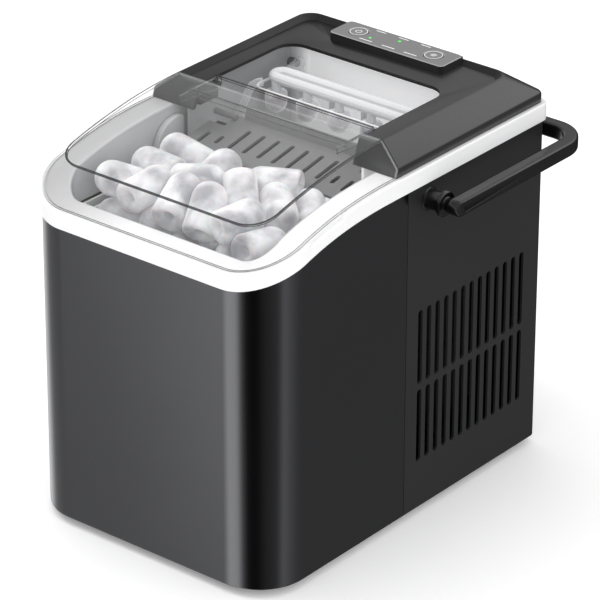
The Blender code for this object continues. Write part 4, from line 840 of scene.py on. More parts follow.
# %% Top cover
cover_low, cover_high = local("top_cover")
COVER_BOTTOM = cover_low.z
COVER_HALF_W = cover_high.x
COVER_REAR = cover_high.y
COVER_FRONT = cover_low.y
PANEL_TOP = cover_high.z
PANEL_RISE = 1.6
COVER_TOP = PANEL_TOP - PANEL_RISE
COVER_LEAN = 8.0
COVER_BAND = 7.1
COVER_WALL = 2.5
SHOULDER = COVER_BOTTOM + COVER_BAND
CHAMFER_RUN, CHAMFER_REAR_RUN = 18.3, 17.3
RIM_HALF_W = COVER_HALF_W - CHAMFER_RUN
RIM_REAR = COVER_REAR - CHAMFER_REAR_RUN
RECESS_FLOOR = COVER_TOP - 3.6
RECESS_MARGIN = 5.1
OPENING_HALF_W = 72.0
OPENING_REAR = COVER_FRONT + 108.0
TOP_FRONT = COVER_FRONT + COVER_LEAN
PANEL_HALF_W = 51.5
PANEL_FRONT = RIM_REAR - 27.5
PANEL_MID = (PANEL_FRONT + RIM_REAR) / 2
BUTTON_GAP = 0.35


def cover_front_at(z):
    return COVER_FRONT + COVER_LEAN * (z - COVER_BOTTOM) / (COVER_TOP - COVER_BOTTOM)


def cover_ring(z, half, y_rear, radius, inset=0.0, y_front=None):
    front = cover_front_at(z) + inset if y_front is None else y_front
    outline = rounded_outline(-half, half, front, y_rear, (0, 0, radius, radius), 12)
    return [(x, y, z) for x, y in outline]


def cover_body():
    lower = [cover_ring(COVER_BOTTOM, COVER_HALF_W, COVER_REAR, REAR_RADIUS)]
    knee = fillet(cover_ring(SHOULDER - 1.6, COVER_HALF_W, COVER_REAR, REAR_RADIUS),
                  cover_ring(SHOULDER - 0.2, COVER_HALF_W, COVER_REAR, REAR_RADIUS),
                  cover_ring(SHOULDER + 0.8, COVER_HALF_W - 1.0, COVER_REAR - 1.0, REAR_RADIUS), 4)
    crown = fillet(cover_ring(COVER_TOP - 1.0, RIM_HALF_W + 1.25, RIM_REAR + 1.2, 12.4),
                   cover_ring(COVER_TOP, RIM_HALF_W, RIM_REAR, 12.0),
                   cover_ring(COVER_TOP, RIM_HALF_W - 1.2, RIM_REAR - 1.2, 11.4), 3)
    return loft(lower + knee + crown)


def cover_hollow():
    wall, ceiling = COVER_WALL, RECESS_FLOOR - COVER_WALL
    share = (ceiling - SHOULDER) / (COVER_TOP - SHOULDER)
    slant = math.hypot(CHAMFER_RUN, COVER_TOP - SHOULDER) / (COVER_TOP - SHOULDER) * wall
    half = COVER_HALF_W - CHAMFER_RUN * share - slant
    rear = COVER_REAR - CHAMFER_REAR_RUN * share - slant
    return loft([cover_ring(COVER_BOTTOM - 5, COVER_HALF_W - wall, COVER_REAR - wall, 4.0, wall + 0.5),
                 cover_ring(SHOULDER - 1, COVER_HALF_W - wall, COVER_REAR - wall, 4.0, wall + 0.5),
                 cover_ring(ceiling, half, rear, 8.0, wall + 0.5)])


def cover_recess():
    above, ahead = 1.0, COVER_FRONT - 20
    depth = COVER_TOP - RECESS_FLOOR
    flare = (depth + above) * (RECESS_MARGIN - 0.9) / depth
    half, rear = RIM_HALF_W - RECESS_MARGIN, RIM_REAR - RECESS_MARGIN
    return loft([cover_ring(RECESS_FLOOR, half, rear, 9.0, 0, ahead),
                 cover_ring(COVER_TOP + above, half + flare, rear + flare, 12.0, 0, ahead)], marks=(0,))


# The cover's second finish paints shade, near black, on the walls of its recess, window and island.
COVER_FINISHES = [COVER_GREY_PAINTED_SHADE, PAINTED_SHADE_BLACK]
cover = draw("cover", cover_body(), COVER_FINISHES)
window = draw("window", prism(rounded_outline(-OPENING_HALF_W, OPENING_HALF_W, COVER_FRONT - 20, OPENING_REAR,
                                              (0, 0, 15, 15), 16), COVER_BOTTOM - 10, COVER_TOP + 10, (0,)),
              COVER_FINISHES)
cut(cover, draw("hollow", cover_hollow(), COVER_GREY_PAINTED_SHADE), draw("recess", cover_recess(), COVER_FINISHES), window)
island_outline = rounded_outline(-PANEL_HALF_W, PANEL_HALF_W, PANEL_FRONT, RIM_REAR, (4, 4, 3, 3), 8)
island = draw("island", prism(island_outline, RECESS_FLOOR - COVER_WALL / 2, PANEL_TOP, (0,)), COVER_FINISHES)
cut(cover, island, operation="UNION")
button_boxes = {name: local(name) for name in ("button_power", "button_select")}
for low, high in button_boxes.values():
    centre = (low + high) / 2
    radius = (high.x - low.x) / 2 + BUTTON_GAP
    bottom, top = low.z - 1.2, PANEL_TOP + 3
    well = turned([(0, bottom), (radius, bottom), (radius, top), (0, top)], (centre.x, centre.y, 0))
    cut(cover, draw("well", well, COVER_GREY_PAINTED_SHADE))
round_edges(cover, 0.5, 2, 40.0)
settle(cover, 24.0)
finished(cover, "chassis", "top_cover", slot="black_plastic")

# %% [markdown]
# The lid is vacuum-clear plastic two millimetres thick: an upright rim, sloping sides, a rounded fold and a
# flat top that dips to the front. It is lofted as a surface and given its wall afterwards. Its bottom band
# and folds carry a dark finish, painted shade, and its cut edges a pale finish, painted highlight, which
# make clear plastic readable. A tongue reaches back to the hinge.

# %% Lid shell
LID_WALL = 2.0
LID_SKIRT = 6.5
LID_GAP = 0.9
LID_FRONT = FRONT + 15.5
LID_FRONT_RISE = 28.5
HINGE_Y = TOP_FRONT + 18.0
HINGE_Z = COVER_TOP - 9.4
RIM_INSET = 0.6


def lid_top_z(y):
    share = max(0.0, (TOP_FRONT - y) / (TOP_FRONT - LID_FRONT))
    return COVER_TOP - (COVER_TOP - rim_z(FRONT) - LID_FRONT_RISE) * min(share, 1.0) ** 1.9


def lid_back_at(z):
    return cover_front_at(z) - LID_GAP


def lid_rings():
    def skirt(lift, z_back):
        path = front_plan(RIM_INSET, lid_back_at(z_back))
        edge = front_plan(0.0, lid_back_at(z_back))
        return [(x, y, rim_z(edge_y) + GAP + lift) for (x, y), (_, edge_y) in zip(path, edge)]

    def top(inset):
        path = front_plan(inset, lid_back_at(COVER_TOP), front=LID_FRONT, radius=20.0, half_w=RIM_HALF_W)
        return [(x, y, lid_top_z(y)) for x, y in path]

    base, knee, fold = skirt(0.0, COVER_BOTTOM), skirt(LID_SKIRT, COVER_BOTTOM + LID_SKIRT), top(0.0)
    lower = fillet(toward(knee, base, 1.6), knee, toward(knee, fold, 1.6), 3)
    upper = fillet(toward(fold, knee, 1.2), fold, top(1.2), 3)
    return [base, skirt(0.55, COVER_BOTTOM)] + lower + upper


rings = lid_rings()
fold_band = len(rings) - 3
# Band 0 and the fold bands take the dark finish, painted shadow of the gap under the lid and painted shade in
# the fold; the cut rim takes the pale finish, a painted highlight.
lid_mesh = loft(rings, closed=False, marks=(0, fold_band, fold_band + 1))
lid_mesh.verts.ensure_lookup_table()
count = len(rings[-1])
crown = lid_mesh.verts[-count:]
for i in range(count // 2 - 1):
    lid_mesh.faces.new((crown[i], crown[i + 1], crown[count - 2 - i], crown[count - 1 - i]))
lid = draw("clear_lid", lid_mesh, [CLEAR, CLEAR_PAINTED_SHADE_LINE, CLEAR_RIM_PAINTED_HIGHLIGHT], 30.0)
modifier(lid, "SOLIDIFY", thickness=LID_WALL * MM, offset=-1.0, material_offset_rim=2)
settle(lid, 30.0)
finished(lid, "lid", "lid", slot="clear_plastic")

# %% Lid tongue, folds and hinge ribs
TONGUE_HALF = OPENING_HALF_W - 0.9
TONGUE_TOP = RECESS_FLOOR + 0.6
FOLD_Y = -23.0
TONGUE_REAR = HINGE_Y - 1.0


def lid_trim():
    """The tongue's plate, its two cross ribs and the side ribs, as one list of boxes and prisms."""
    half, top = TONGUE_HALF, TONGUE_TOP
    plate = box((-half, FOLD_Y + LID_WALL, top - LID_WALL), (half, TONGUE_REAR, top))
    front_rib = box((-half, FOLD_Y, top - 4.6), (half, FOLD_Y + LID_WALL, top + 1.0))
    rear_rib = box((-half, TONGUE_REAR - 1.6, top), (half, TONGUE_REAR, top + 1.0))
    parts = [plate, front_rib, rear_rib]
    lug = 4.6
    for side in (-1, 1):
        x0, x1 = sorted((side * TONGUE_HALF, side * (TONGUE_HALF - 2.2)))
        outline = [(FOLD_Y - 10, top - 1.0), (FOLD_Y - 8.5, top - 6.5), (HINGE_Y - 4, HINGE_Z - lug * 0.8)]
        for i in range(13):
            a = math.radians(-80 + 160 * i / 12)
            outline.append((HINGE_Y + lug * math.cos(a), HINGE_Z + lug * math.sin(a)))
        outline.append((HINGE_Y - 2, top - 0.4))
        parts.append(side_prism(outline, x0, x1))
    return parts


# The bevels take the dark finish: painted shade along the edges of the tongue and ribs.
for index, bm in enumerate(lid_trim()):
    trim = draw(f"lid_trim_{index}", bm, [CLEAR if index else CLEAR_FLAT, CLEAR_PAINTED_SHADE_LINE])
    modifier(trim, "BEVEL", width=0.4 * MM, segments=1, limit_method="ANGLE", angle_limit=math.radians(40),
             material=1)
    finished(settle(trim), "lid", slot="clear_plastic")

# %% [markdown]
# The handle is one bar bent round the back. A Geometry Nodes tree rounds the corners of its centre line and
# sweeps a soft rectangle along it, so the bar keeps the same section through the bends.

# %% Handle
handle_high = local("handle")[1]
HANDLE_WIDTH = 11.0
HANDLE_HEIGHT = 11.5
HANDLE_CORNER = 28.0


def sweep_graph():
    g = Graph("sweep", Corner=float, Width=float, Height=float, Ease=float, Finish=bpy.types.Material)
    line = g.add("GeometryNodeMeshToCurve", None, {"Mesh": g.source.outputs[0]})
    bent = g.add("GeometryNodeFilletCurve", {"mode": "POLY"},
                 {"Curve": line, "Count": 20, "Radius": g.size("Corner")})
    flat = g.add("GeometryNodeCurvePrimitiveQuadrilateral", None,
                 {"Width": g.size("Width"), "Height": g.size("Height")})
    section = g.add("GeometryNodeFilletCurve", {"mode": "POLY"},
                    {"Curve": flat, "Count": 5, "Radius": g.size("Ease")})
    bar = g.add("GeometryNodeCurveToMesh", None,
                {"Curve": bent, "Profile Curve": section, "Fill Caps": True})
    return g.finish(bar, g.size("Finish"))


SWEEP = sweep_graph()


def polyline(name, points):
    mesh = bpy.data.meshes.new(name)
    mesh.from_pydata([TO_FRAME @ Vector(p) for p in points], [(i, i + 1) for i in range(len(points) - 1)], [])
    return mesh


pivot_low, pivot_high = local("handle_pivot_right")
PIVOT_Y = (pivot_low.y + pivot_high.y) / 2
PIVOT_Z = (pivot_low.z + pivot_high.z) / 2
bar_x = handle_high.x - HANDLE_WIDTH / 2
bar_y = handle_high.y - HANDLE_WIDTH / 2
bar_line = [(x, y, PIVOT_Z)
            for x, y in ((-bar_x, PIVOT_Y), (-bar_x, bar_y), (bar_x, bar_y), (bar_x, PIVOT_Y))]
handle = grow(SWEEP, "carry_handle", polyline("carry_handle", bar_line), 30.0,
              Corner=(HANDLE_CORNER - HANDLE_WIDTH / 2) * MM, Width=HANDLE_WIDTH * MM,
              Height=HANDLE_HEIGHT * MM, Ease=2.4 * MM, Finish=SATIN_BLACK)
print("handle box", [round(v / MM, 1) for v in (*handle.bound_box[0], *handle.bound_box[6])])

# %% Handle eyes and pivots
half = HANDLE_WIDTH / 2
eye_r = HANDLE_HEIGHT / 2
for side in (-1, 1):
    eye_profile = [(0, -half), (eye_r - 2.0, -half), (eye_r - 0.6, 0.6 - half), (eye_r, 2.0 - half),
                   (eye_r, half - 2.0), (eye_r - 0.6, half - 0.6), (eye_r - 2.0, half), (0, half)]
    eye = draw("handle_eye", turned(eye_profile, (side * bar_x, PIVOT_Y, PIVOT_Z), "X", 40), SATIN_BLACK)
    cut(handle, eye, operation="UNION")
settle(handle, 30.0)
finished(handle, "handle", "handle", slot="black_plastic")

for label, side in (("left", -1), ("right", 1)):
    boss, flange, neck, reach = 7.0, 9.5, 3.0, bar_x - half - HALF_W
    profile = [(0, GAP), (boss + 1.8, GAP), (boss + 0.6, 1.0), (boss, 2.6), (boss, 11.4),
               (flange - 0.5, 12.2), (flange, 12.8), (flange, 14.6), (flange - 0.8, 15.4),
               (boss - 1.4, 15.4), (boss - 2, 15.9),
               (boss - 2, reach - GAP), (neck, reach - GAP), (neck, reach + 7), (0, reach + 7)]
    bm = turned([(r, side * (HALF_W + h)) for r, h in profile], (0, PIVOT_Y, PIVOT_Z), "X", 56)
    pivot = draw(f"handle_boss_{label}", bm, SATIN_BLACK)
    finished(pivot, "chassis", f"handle_pivot_{label}", slot="black_plastic")

# %% [markdown]
# The control film is a thin printed sheet with a paler bevelled border. Its two keys carry plain icons inside
# a ring, and short dashes stand where a maker would print words. Six light pipes show through it.

# %% Control film
OVERLAY_LOW, OVERLAY_HIGH = local("control_overlay")
film_outline = rounded_outline(GAP - PANEL_HALF_W, PANEL_HALF_W - GAP, PANEL_FRONT + GAP, OVERLAY_HIGH.y,
                               (3.8,) * 4, 8)
film = draw("control_film", prism(film_outline, OVERLAY_LOW.z, OVERLAY_HIGH.z), [PANEL_GREY, PANEL_EDGE])
for low, high in button_boxes.values():
    centre, radius = (low + high) / 2, (high.x - low.x) / 2 + BUTTON_GAP
    hole = turned([(0, -5), (radius, -5), (radius, 5), (0, 5)], (centre.x, centre.y, PANEL_TOP))
    cut(film, draw("hole", hole, PANEL_GREY))
modifier(film, "BEVEL", width=0.7 * MM, segments=1, limit_method="ANGLE", angle_limit=math.radians(50),
         material=1)
settle(film)
finished(film, "chassis", "control_overlay", slot="panel_grey")

# %% Keys, icons and dashes
PRINT_THICK = 0.06


def ring_print(centre, radius, width, z, start=0.0, sweep=360.0):
    """A flat printed arc."""
    steps = max(8, int(sweep / 6))
    rings = []
    top = z + PRINT_THICK
    for r, h in ((radius - width, z), (radius, z), (radius, top), (radius - width, top)):
        angles = [math.radians(start + sweep * i / steps) for i in range(steps + (sweep < 360))]
        rings.append([(centre.x + r * math.cos(a), centre.y + r * math.sin(a), h) for a in angles])
    bm = loft(rings + [rings[0]], closed=sweep >= 360, cap=False)
    bmesh.ops.remove_doubles(bm, verts=bm.verts, dist=0.0005)
    bmesh.ops.holes_fill(bm, edges=bm.edges)
    return bm


def bar_print(centre, length, width, z):
    half_l, half_w = length / 2, width / 2
    return box((centre.x - half_l, centre.y - half_w, z),
               (centre.x + half_l, centre.y + half_w, z + PRINT_THICK))


def print_on(name, shapes, body, finish=PRINT):
    """Joins printed shapes into one piece."""
    bm = bmesh.new()
    for shape in shapes:
        spare = bpy.data.meshes.new("spare")
        shape.to_mesh(spare)
        bm.from_mesh(spare)
        shape.free()
        bpy.data.meshes.remove(spare)
    return finished(draw(name, bm, finish), body)


for name, (low, high) in button_boxes.items():
    centre, radius, z = (low + high) / 2, (high.x - low.x) / 2, high.z
    profile = [(0, low.z), (radius, low.z), (radius, z - 0.35), (radius - 0.12, z - 0.12),
               (radius - 0.35, z - 0.02), (0, z - 0.02)]
    cap = draw(f"{name}_cap", turned(profile, (centre.x, centre.y, 0), "Z", 64), PANEL_GREY)
    finished(cap, name, name, slot="panel_grey")
    icon = [ring_print(centre, radius - 0.55, 0.42, z)]
    if name == "button_power":
        icon += [ring_print(centre, 2.5, 0.5, z, 120, 300),
                 bar_print(centre + Vector((0, 2.0, 0)), 0.5, 2.6, z)]
    else:
        icon += [bar_print(centre + Vector((0, 1.6 * k, 0)), 5.0 - abs(k) * 1.6, 0.55, z)
                 for k in (-1, 0, 1)]
    print_on(f"{name}_print", icon, name)

LIGHT_NODES = sorted(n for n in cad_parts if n.startswith("light_"))
dashes = []
for name in LIGHT_NODES:
    low, high = local(name)
    centre = (low + high) / 2
    outward_y = 5.2 if centre.y > PANEL_MID else -5.2
    width = 8.5 if centre.y > PANEL_MID else 11.5
    dashes.append(bar_print(centre + Vector((0, outward_y, 0)), width, 0.75, OVERLAY_HIGH.z))
print_on("panel_dashes", dashes, "chassis")

LIT = ("light_run", "light_ice_medium")
for name in LIGHT_NODES:
    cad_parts[name].data.materials[0] = LAMP_LIT if name in LIT else LAMP_DARK
print("lights:", LIGHT_NODES)

# %% [markdown]
# The liner, bay and basket keep their frame shapes where those are already right. Their plain colours are
# swapped for the moulded finishes, and the small machinery behind the vents gets its metals and enamels.

# %% Finishes for the frame's own pieces
DRESS = {
    "base_tray": SATIN_BLACK, "drain_plug": RUBBER, "cord_gland": RUBBER,
    "hinge_block_left": SATIN_BLACK, "hinge_block_right": SATIN_BLACK, "control_board": BOARD,
    "inner_tub": LINER, "evaporator_bay": BAY_LINER_PAINTED_SHADE_AND_GLOW, "tub_foam": FOAM, "ice_basket": LINER,
    "evaporator": FROST, "ice_shovel": SCOOP_GREY, "tray_motor": SCOOP_GREY,
    "water_pump": DARK_ENAMEL, "pump_hose": CLEAR_RIM_PAINTED_HIGHLIGHT, "float_sensor": COLLAR_WHITE,
    "ice_full_sensor": DARK_ENAMEL,
    "compressor": DARK_ENAMEL, "condenser": ALUMINIUM, "fan_shroud": DARK_ENAMEL, "fan_blades": DARK_ENAMEL,
    "fan_motor": DARK_ENAMEL, "suction_line": COPPER, "discharge_line": COPPER,
}
for name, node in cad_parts.items():
    if name.startswith(("foot_", "compressor_mount_")):
        node.data.materials[0] = RUBBER
    elif name in DRESS:
        node.data.materials[0] = DRESS[name]

# %% [markdown]
# The water tray is a clear trough with round ends, hung from a pin at the back, and its rim is what the eye
# finds first: a pale finish on it paints the rim's highlight. A dark sheet under the scoop's slots paints the
# shadow seen through them, and a cheek painted grey as shade stands where the bay meets the tub.

# %% Water tray, the scoop's painted shadow sheet and the bay cheek
tray_low = local("water_tray")[0]
TRAY_RIM = local("evaporator")[1].z - 9.0
TRAY_HALF_L = 70.0
TRAY_FRONT, TRAY_WIDTH, TRAY_DEPTH = tray_low.y, 33.0, 46.0
TRAY_AXIS_Y = TRAY_FRONT + 52.0


def tray_trough():
    """The trough's outside, from the rim down: upright walls, then a half-round bottom."""
    r, middle = TRAY_WIDTH / 2, TRAY_FRONT + TRAY_WIDTH / 2
    turn = TRAY_RIM - TRAY_DEPTH + r
    rings = []
    bottom = [turn - r * math.sin(math.radians(a)) for a in (20, 40, 60, 75, 86)]
    for z in [TRAY_RIM, TRAY_RIM - 1.2, turn] + bottom:
        w = math.sqrt(max(r * r - max(turn - z, 0.0) ** 2, 1.0))
        inset = r - w
        outline = rounded_outline(inset * 0.5 - TRAY_HALF_L, TRAY_HALF_L - inset * 0.5, middle - w,
                                  middle + w, (min(w * 0.9, 9.0),) * 4, 8)
        rings.append([(x, y, z) for x, y in outline])
    bm = loft(rings, cap=False, marks=(0,))
    bm.verts.ensure_lookup_table()
    bm.faces.new(bm.verts[-len(rings[-1]):])
    return bm


# The tray's rim band and cut rim take the pale finish: a painted highlight.
tray = draw("clear_tray", tray_trough(), [CLEAR, CLEAR_PAINTED_HIGHLIGHT, CLEAR_PAINTED_HIGHLIGHT], 30.0)
modifier(tray, "SOLIDIFY", thickness=1.6 * MM, offset=-1.0, use_even_offset=True, material_offset_rim=2)
settle(tray, 30.0)
finished(tray, "water_tray", "water_tray", slot="clear_plastic")
for side in (-1, 1):
    x0, x1 = sorted((side * TRAY_HALF_L, side * (TRAY_HALF_L - 3)))
    rear = TRAY_FRONT + TRAY_WIDTH - 3
    arm = [(rear, TRAY_RIM - 14), (TRAY_AXIS_Y, TRAY_RIM - 5.5)]
    arm += [(TRAY_AXIS_Y + 5.5 * math.cos(a), TRAY_RIM + 5.5 * math.sin(a))
            for a in (math.radians(-80 + 20 * k) for k in range(9))] + [(rear, TRAY_RIM - 1)]
    label = "left" if side < 0 else "right"
    arm_piece = draw(f"tray_arm_{label}", side_prism(arm, x0, x1), CLEAR_RIM_PAINTED_HIGHLIGHT)
    finished(arm_piece, "water_tray", slot="clear_plastic")
    profile = [(r, side * h) for r, h in ((0, 0), (3, 0), (3, 8.5), (2.6, 9), (0, 9))]
    pin = turned(profile, (side * (TRAY_HALF_L - 0.5), TRAY_AXIS_Y, TRAY_RIM), "X", 24)
    finished(draw(f"tray_pin_{label}", pin, SCOOP_GREY), "water_tray", slot="clear_plastic")

shovel_low = local("ice_shovel")[0]
SCOOP_REAR, SCOOP_Z, SCOOP_SLOPE = shovel_low.y + 49.0, TRAY_RIM - 12.0, math.tan(math.radians(10.0))
# A dark sheet under the slots: painted shadow, so that the slots read dark.
screen = [(SCOOP_REAR - back_by, SCOOP_Z - back_by * SCOOP_SLOPE - drop)
          for back_by, drop in ((9, 2.3), (9, 2.9), (47, 2.9), (47, 2.3))]
finished(draw("scoop_screen", side_prism(screen, -72, 72), PAINTED_SHADE_BLACK), "ice_shovel", slot="grey_plastic")

cheek = rounded_outline(-40.0, -10.0, APRON_BOTTOM + 0.5, 262.0, (4, 4, 4, 22), 14)
cheek_x = APRON_INSET - HALF_W
cheek_piece = draw("bay_cheek", side_prism(cheek, cheek_x + 0.3, cheek_x + 5.5), LINER_PAINTED_SHADE)
round_edges(cheek_piece, 1.2, 3)
finished(settle(cheek_piece), "chassis", slot="liner_plastic")

# %% [markdown]
# The ice: 76 hollow bullets, dropped in a heap. Real physics would be slow and could differ from
# run to run, so the heap is relaxed instead. Each bullet is a short capsule, and a few hundred passes push
# overlapping capsules apart and pull them down into the basket. A fixed seed gives the same heap each time.

# %% One bullet of ice
BULLET_RADIUS = 12.3
BULLET_LENGTH = 40.0


def bullet():
    """A cup with a round end, a soft open rim and a narrow bore where the finger was."""
    r, length = BULLET_RADIUS, BULLET_LENGTH
    nose = [(r * math.sin(a), -length / 2 + r - r * math.cos(a))
            for a in (math.pi / 2 * k / 7 for k in range(8))]
    rim = [(r, length / 2 - 2.6), (r - 0.7, length / 2 - 0.8), (r - 2.4, length / 2),
           (r - 5.2, length / 2 - 0.7)]
    bore = [(3.9, length / 2 - 3.0), (3.4, 0.0), (2.2, -length / 2 + 11.0), (0, -length / 2 + 10.0)]
    bm = turned(nose + rim + bore, (0, 0, 0), "Z", 22)
    bmesh.ops.scale(bm, vec=(MM, MM, MM), verts=bm.verts)
    mesh = bpy.data.meshes.new("bullet")
    bmesh.ops.recalc_face_normals(bm, faces=bm.faces)
    bm.to_mesh(mesh)
    bm.free()
    mesh.shade_smooth()
    mesh.materials.append(ICE)
    obj = bpy.data.objects.new("bullet", mesh)
    scene.collection.objects.link(obj)
    return obj


# %% The heap, relaxed
basket_low, basket_high = local("ice_basket")
SEED = 7
BULLET_COUNT = 76
HEAP_TOP = 251.0
STEEPEST = 0.62
PASSES, FALLING_PASSES, FALL_STEP = 300, 130, 0.6


def nearest_on_axes(p, u, q, v, half):
    """The closest points of two segments, each given by its middle, direction and half length."""
    between = p - q
    uv, up_, vp = u.dot(v), u.dot(between), v.dot(between)
    spread = 1 - uv * uv
    s = 0.0 if spread < 1e-4 else (uv * vp - up_) / spread
    s = max(-half, min(half, s))
    t = max(-half, min(half, vp + s * uv))
    s = max(-half, min(half, t * uv - up_))
    return s, t


def lying(direction):
    """The direction, kept from standing upright: a capsule in a heap leans on its neighbours."""
    direction.normalize()
    direction.z = max(-STEEPEST, min(STEEPEST, direction.z))
    return direction.normalized()


def heap():
    rng = random.Random(SEED)
    half = BULLET_LENGTH / 2 - BULLET_RADIUS
    low = basket_low + Vector((4, 4, 3)) + Vector((1, 1, 1)) * BULLET_RADIUS
    high = basket_high - Vector((4, 4, 0)) - Vector((1, 1, 0)) * BULLET_RADIUS
    middles, leans = [], []
    for i in range(BULLET_COUNT):
        spot = rng.uniform(low.x, high.x), rng.uniform(low.y, high.y), low.z + 130 * i / BULLET_COUNT
        middles.append(Vector(spot))
        leans.append(Vector((rng.gauss(0, 1), rng.gauss(0, 1), rng.gauss(0, 0.45))).normalized())
    reach = 2 * BULLET_RADIUS
    for step in range(PASSES):
        for m in middles:
            m.z -= FALL_STEP if step < FALLING_PASSES else 0.0
        for i in range(BULLET_COUNT):
            for j in range(i):
                if (middles[i] - middles[j]).length > reach + 2 * half:
                    continue
                s, t = nearest_on_axes(middles[i], leans[i], middles[j], leans[j], half)
                apart = (middles[i] + leans[i] * s) - (middles[j] + leans[j] * t)
                distance = apart.length
                if distance < reach:
                    push = apart * ((reach - distance) / (2 * max(distance, 1e-3)))
                    middles[i] += push
                    middles[j] -= push
                    leans[i] = lying(leans[i] + push * (s * 0.005))
                    leans[j] = lying(leans[j] - push * (t * 0.005))
        for m, lean in zip(middles, leans):
            for axis in range(2):
                tip = abs(lean[axis]) * half
                m[axis] = max(low[axis] + tip, min(high[axis] - tip, m[axis]))
            crest = HEAP_TOP - max(0.0, -112.0 - m.y) * 0.5 - max(0.0, abs(m.x) - 50.0) * 0.15
            m.z = min(max(low.z + abs(lean.z) * half, m.z), crest)
    return middles, leans


def heap_graph():
    g = Graph("heap", Piece=bpy.types.Object, Finish=bpy.types.Material)
    piece = g.add("GeometryNodeObjectInfo", None, {"Object": g.size("Piece")}, out="Geometry")
    lean = g.add("GeometryNodeInputNamedAttribute", {"data_type": "FLOAT_VECTOR"}, {"Name": "lean"})
    size = g.add("GeometryNodeInputNamedAttribute", {"data_type": "FLOAT_VECTOR"}, {"Name": "size"})
    copies = g.add("GeometryNodeInstanceOnPoints", None, {"Points": g.source.outputs[0], "Instance": piece,
                                                          "Rotation": lean, "Scale": size})
    return g.finish(copies, g.size("Finish"))


HEAP = heap_graph()


def scatter(name, pattern, middles, directions, rng):
    """Sets the pattern on every point, its long axis along the direction, each copy a little different."""
    mesh = bpy.data.meshes.new(name)
    mesh.from_pydata([TO_FRAME @ m for m in middles], [], [])
    lean = mesh.attributes.new("lean", "FLOAT_VECTOR", "POINT")
    size = mesh.attributes.new("size", "FLOAT_VECTOR", "POINT")
    for i, direction in enumerate(directions):
        spin = Euler((0, 0, rng.uniform(0, math.tau))).to_matrix()
        turn = direction.to_track_quat("Z", "Y").to_matrix() @ spin
        lean.data[i].vector = turn.to_euler()
        size.data[i].vector = (rng.uniform(0.93, 1.05), rng.uniform(0.93, 1.05), rng.uniform(0.92, 1.08))
    return grow(HEAP, name, mesh, 60.0, Piece=pattern, Finish=ICE)


middles, leans = heap()
one_bullet = bullet()
ice_heap = scatter("ice_bullets", one_bullet, middles, leans, random.Random(SEED + 1))
bpy.data.objects.remove(one_bullet)
finished(ice_heap, "chassis")


# %% Ice on the fingers
FINGER_COUNT, FINGER_STEP = 5, 29.0


def finger_ice():
    """A sleeve of new ice round each of the front fingers, round at the bottom."""
    r, low, high = 8.2, TRAY_RIM - 21.4, TRAY_RIM - 5.0
    nose = [(r * math.sin(a), low + r - r * math.cos(a)) for a in (math.pi / 2 * k / 7 for k in range(8))]
    profile = nose + [(r, high - 1.0), (r - 1.0, high), (3.6, high + 0.4), (3.6, low + 4.0), (0, low + 3.6)]
    return turned(profile, (0, TRAY_FRONT + 13.0, 0), "Z", 28)


sleeve = draw("sleeve", finger_ice(), ICE, 50.0)
sleeves = row("finger_ice", sleeve, FINGER_COUNT, (FINGER_STEP, 0, 0), (-2 * FINGER_STEP, 0, 0), 50.0)
finished(sleeves, "chassis")
print("heap top", round(max(m.z for m in middles), 1), "rim", round(basket_high.z, 1))

# %% [markdown]
# A plain pale floor and soft light. The background has to stay clean, so the floor is a wide sheet. Dark
# metal shows whatever stands round it. A studio sets up pale and black cards for that. Here the world gives
# them: rays that come off glossy surfaces see a ring of pale and dark strips, and everything else sees
# plain white.

# %% Floor
def floor():
    bm = bmesh.new()
    bmesh.ops.create_grid(bm, x_segments=4, y_segments=4, size=6.0)
    mesh = bpy.data.meshes.new("floor")
    bm.to_mesh(mesh)
    bm.free()
    f = Finish("floor_paper")
    fibre = f.noise(90.0, 2.0)
    paper = f.mix(fibre, (0.93, 0.93, 0.93), (0.95, 0.95, 0.95))
    mesh.materials.append(f.surface(base_color=paper, roughness=0.9, emission_color=(1.0, 1.0, 1.0),
                                    emission_strength=0.16))
    obj = bpy.data.objects.new("floor", mesh)
    scene.collection.objects.link(obj)
    obj.visible_glossy = False
    obj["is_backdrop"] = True


floor()

# %% Studio world: plain for diffuse light, a ring of cards for reflections
AMBIENT = 0.78
LOW_CARDS = ((-180, 0.03), (-140, 0.05), (-122, 1.1), (-104, 1.1), (-86, 0.5), (-46, 0.42), (-38, 0.95),
             (-30, 1.9), (-8, 1.7), (3, 0.3), (14, 0.02), (36, 0.02), (52, 0.1), (80, 0.18), (94, 0.62),
             (108, 0.42), (128, 0.24), (150, 0.17), (180, 0.05))
HIGH_CARDS = ((-180, 1.3), (-150, 0.75), (-60, 0.6), (0, 0.7), (60, 0.8), (120, 1.9), (156, 2.4),
              (180, 1.6))


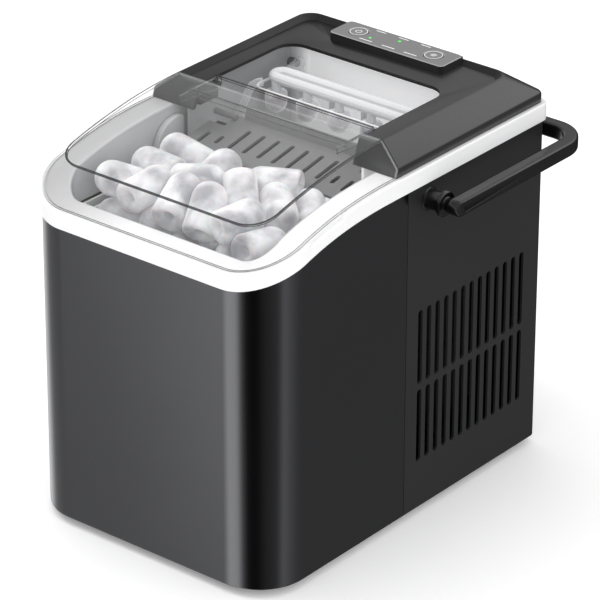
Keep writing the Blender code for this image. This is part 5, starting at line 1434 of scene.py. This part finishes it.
def studio_world():
    world = bpy.data.worlds.new("studio")
    scene.world = world
    world.use_nodes = True
    tree = world.node_tree
    tree.nodes.clear()

    def add(kind, values=None, settings=None):
        node = tree.nodes.new(kind)
        for key, value in (settings or {}).items():
            setattr(node, key, value)
        for key, value in (values or {}).items():
            if isinstance(value, bpy.types.NodeSocket):
                tree.links.new(value, node.inputs[key])
            else:
                node.inputs[key].default_value = value
        return node

    look = add("ShaderNodeTexCoord").outputs["Generated"]
    parts = add("ShaderNodeSeparateXYZ", {0: look}).outputs
    minus_y = add("ShaderNodeMath", {0: parts["Y"], 1: -1.0}, {"operation": "MULTIPLY"}).outputs[0]
    azimuth = add("ShaderNodeMath", {0: parts["X"], 1: minus_y}, {"operation": "ARCTAN2"}).outputs[0]
    share = add("ShaderNodeMapRange", {0: azimuth, 1: -math.pi, 2: math.pi}).outputs[0]

    def ring_of_cards(stops):
        """Brightness round the machine, from (azimuth in degrees, brightness). 0 is straight ahead."""
        ring = add("ShaderNodeValToRGB", {0: share})
        elements = ring.color_ramp.elements
        while len(elements) < len(stops):
            elements.new(1.0)
        for stop, (angle, bright) in zip(elements, stops):
            stop.position = (angle + 180) / 360
            stop.color = (bright, bright, bright * 1.01, 1.0)
        return ring.outputs[0]

    low_ring = ring_of_cards(LOW_CARDS)
    high_ring = ring_of_cards(HIGH_CARDS)
    above = add("ShaderNodeMapRange", {0: parts["Z"], 1: 0.16, 2: 0.43}).outputs[0]
    card = add("ShaderNodeMix", {0: above, 6: low_ring, 7: high_ring}, {"data_type": "RGBA"}).outputs[2]
    glossy = add("ShaderNodeBackground", {0: card, 1: 1.0}).outputs[0]
    plain = add("ShaderNodeBackground", {0: (1.0, 1.0, 1.0, 1.0), 1: AMBIENT}).outputs[0]
    ray = add("ShaderNodeLightPath").outputs["Is Glossy Ray"]
    both = add("ShaderNodeMixShader", {0: ray, 1: plain, 2: glossy}).outputs[0]
    add("ShaderNodeOutputWorld", {"Surface": both})
    world.cycles.sampling_method = "NONE"


studio_world()

# %% Lamps
def lamp_card(name, spot, size, power):
    """A square soft light that looks at the machine."""
    data = bpy.data.lights.new(name, "AREA")
    data.shape, data.size, data.energy = "SQUARE", size, power
    obj = bpy.data.objects.new(name, data)
    scene.collection.objects.link(obj)
    obj.location = spot
    obj.visible_glossy = False
    obj.rotation_mode = "QUATERNION"
    obj.rotation_quaternion = (Vector(spot) - Vector((0, 0, 0.15))).to_track_quat("Z", "Y")
    return obj


lamp_card("key_left", (-1.1, -0.6, 1.6), 0.9, 9.0)
lamp_card("top", (-0.2, 0.1, 1.9), 1.2, 9.0)
lamp_card("fill_right", (1.4, -1.0, 0.9), 1.2, 9.0)
scene.view_settings.view_transform = "Standard"
print("lamps:", len(bpy.data.lights))

# %% The two boxes, then the end
low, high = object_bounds()
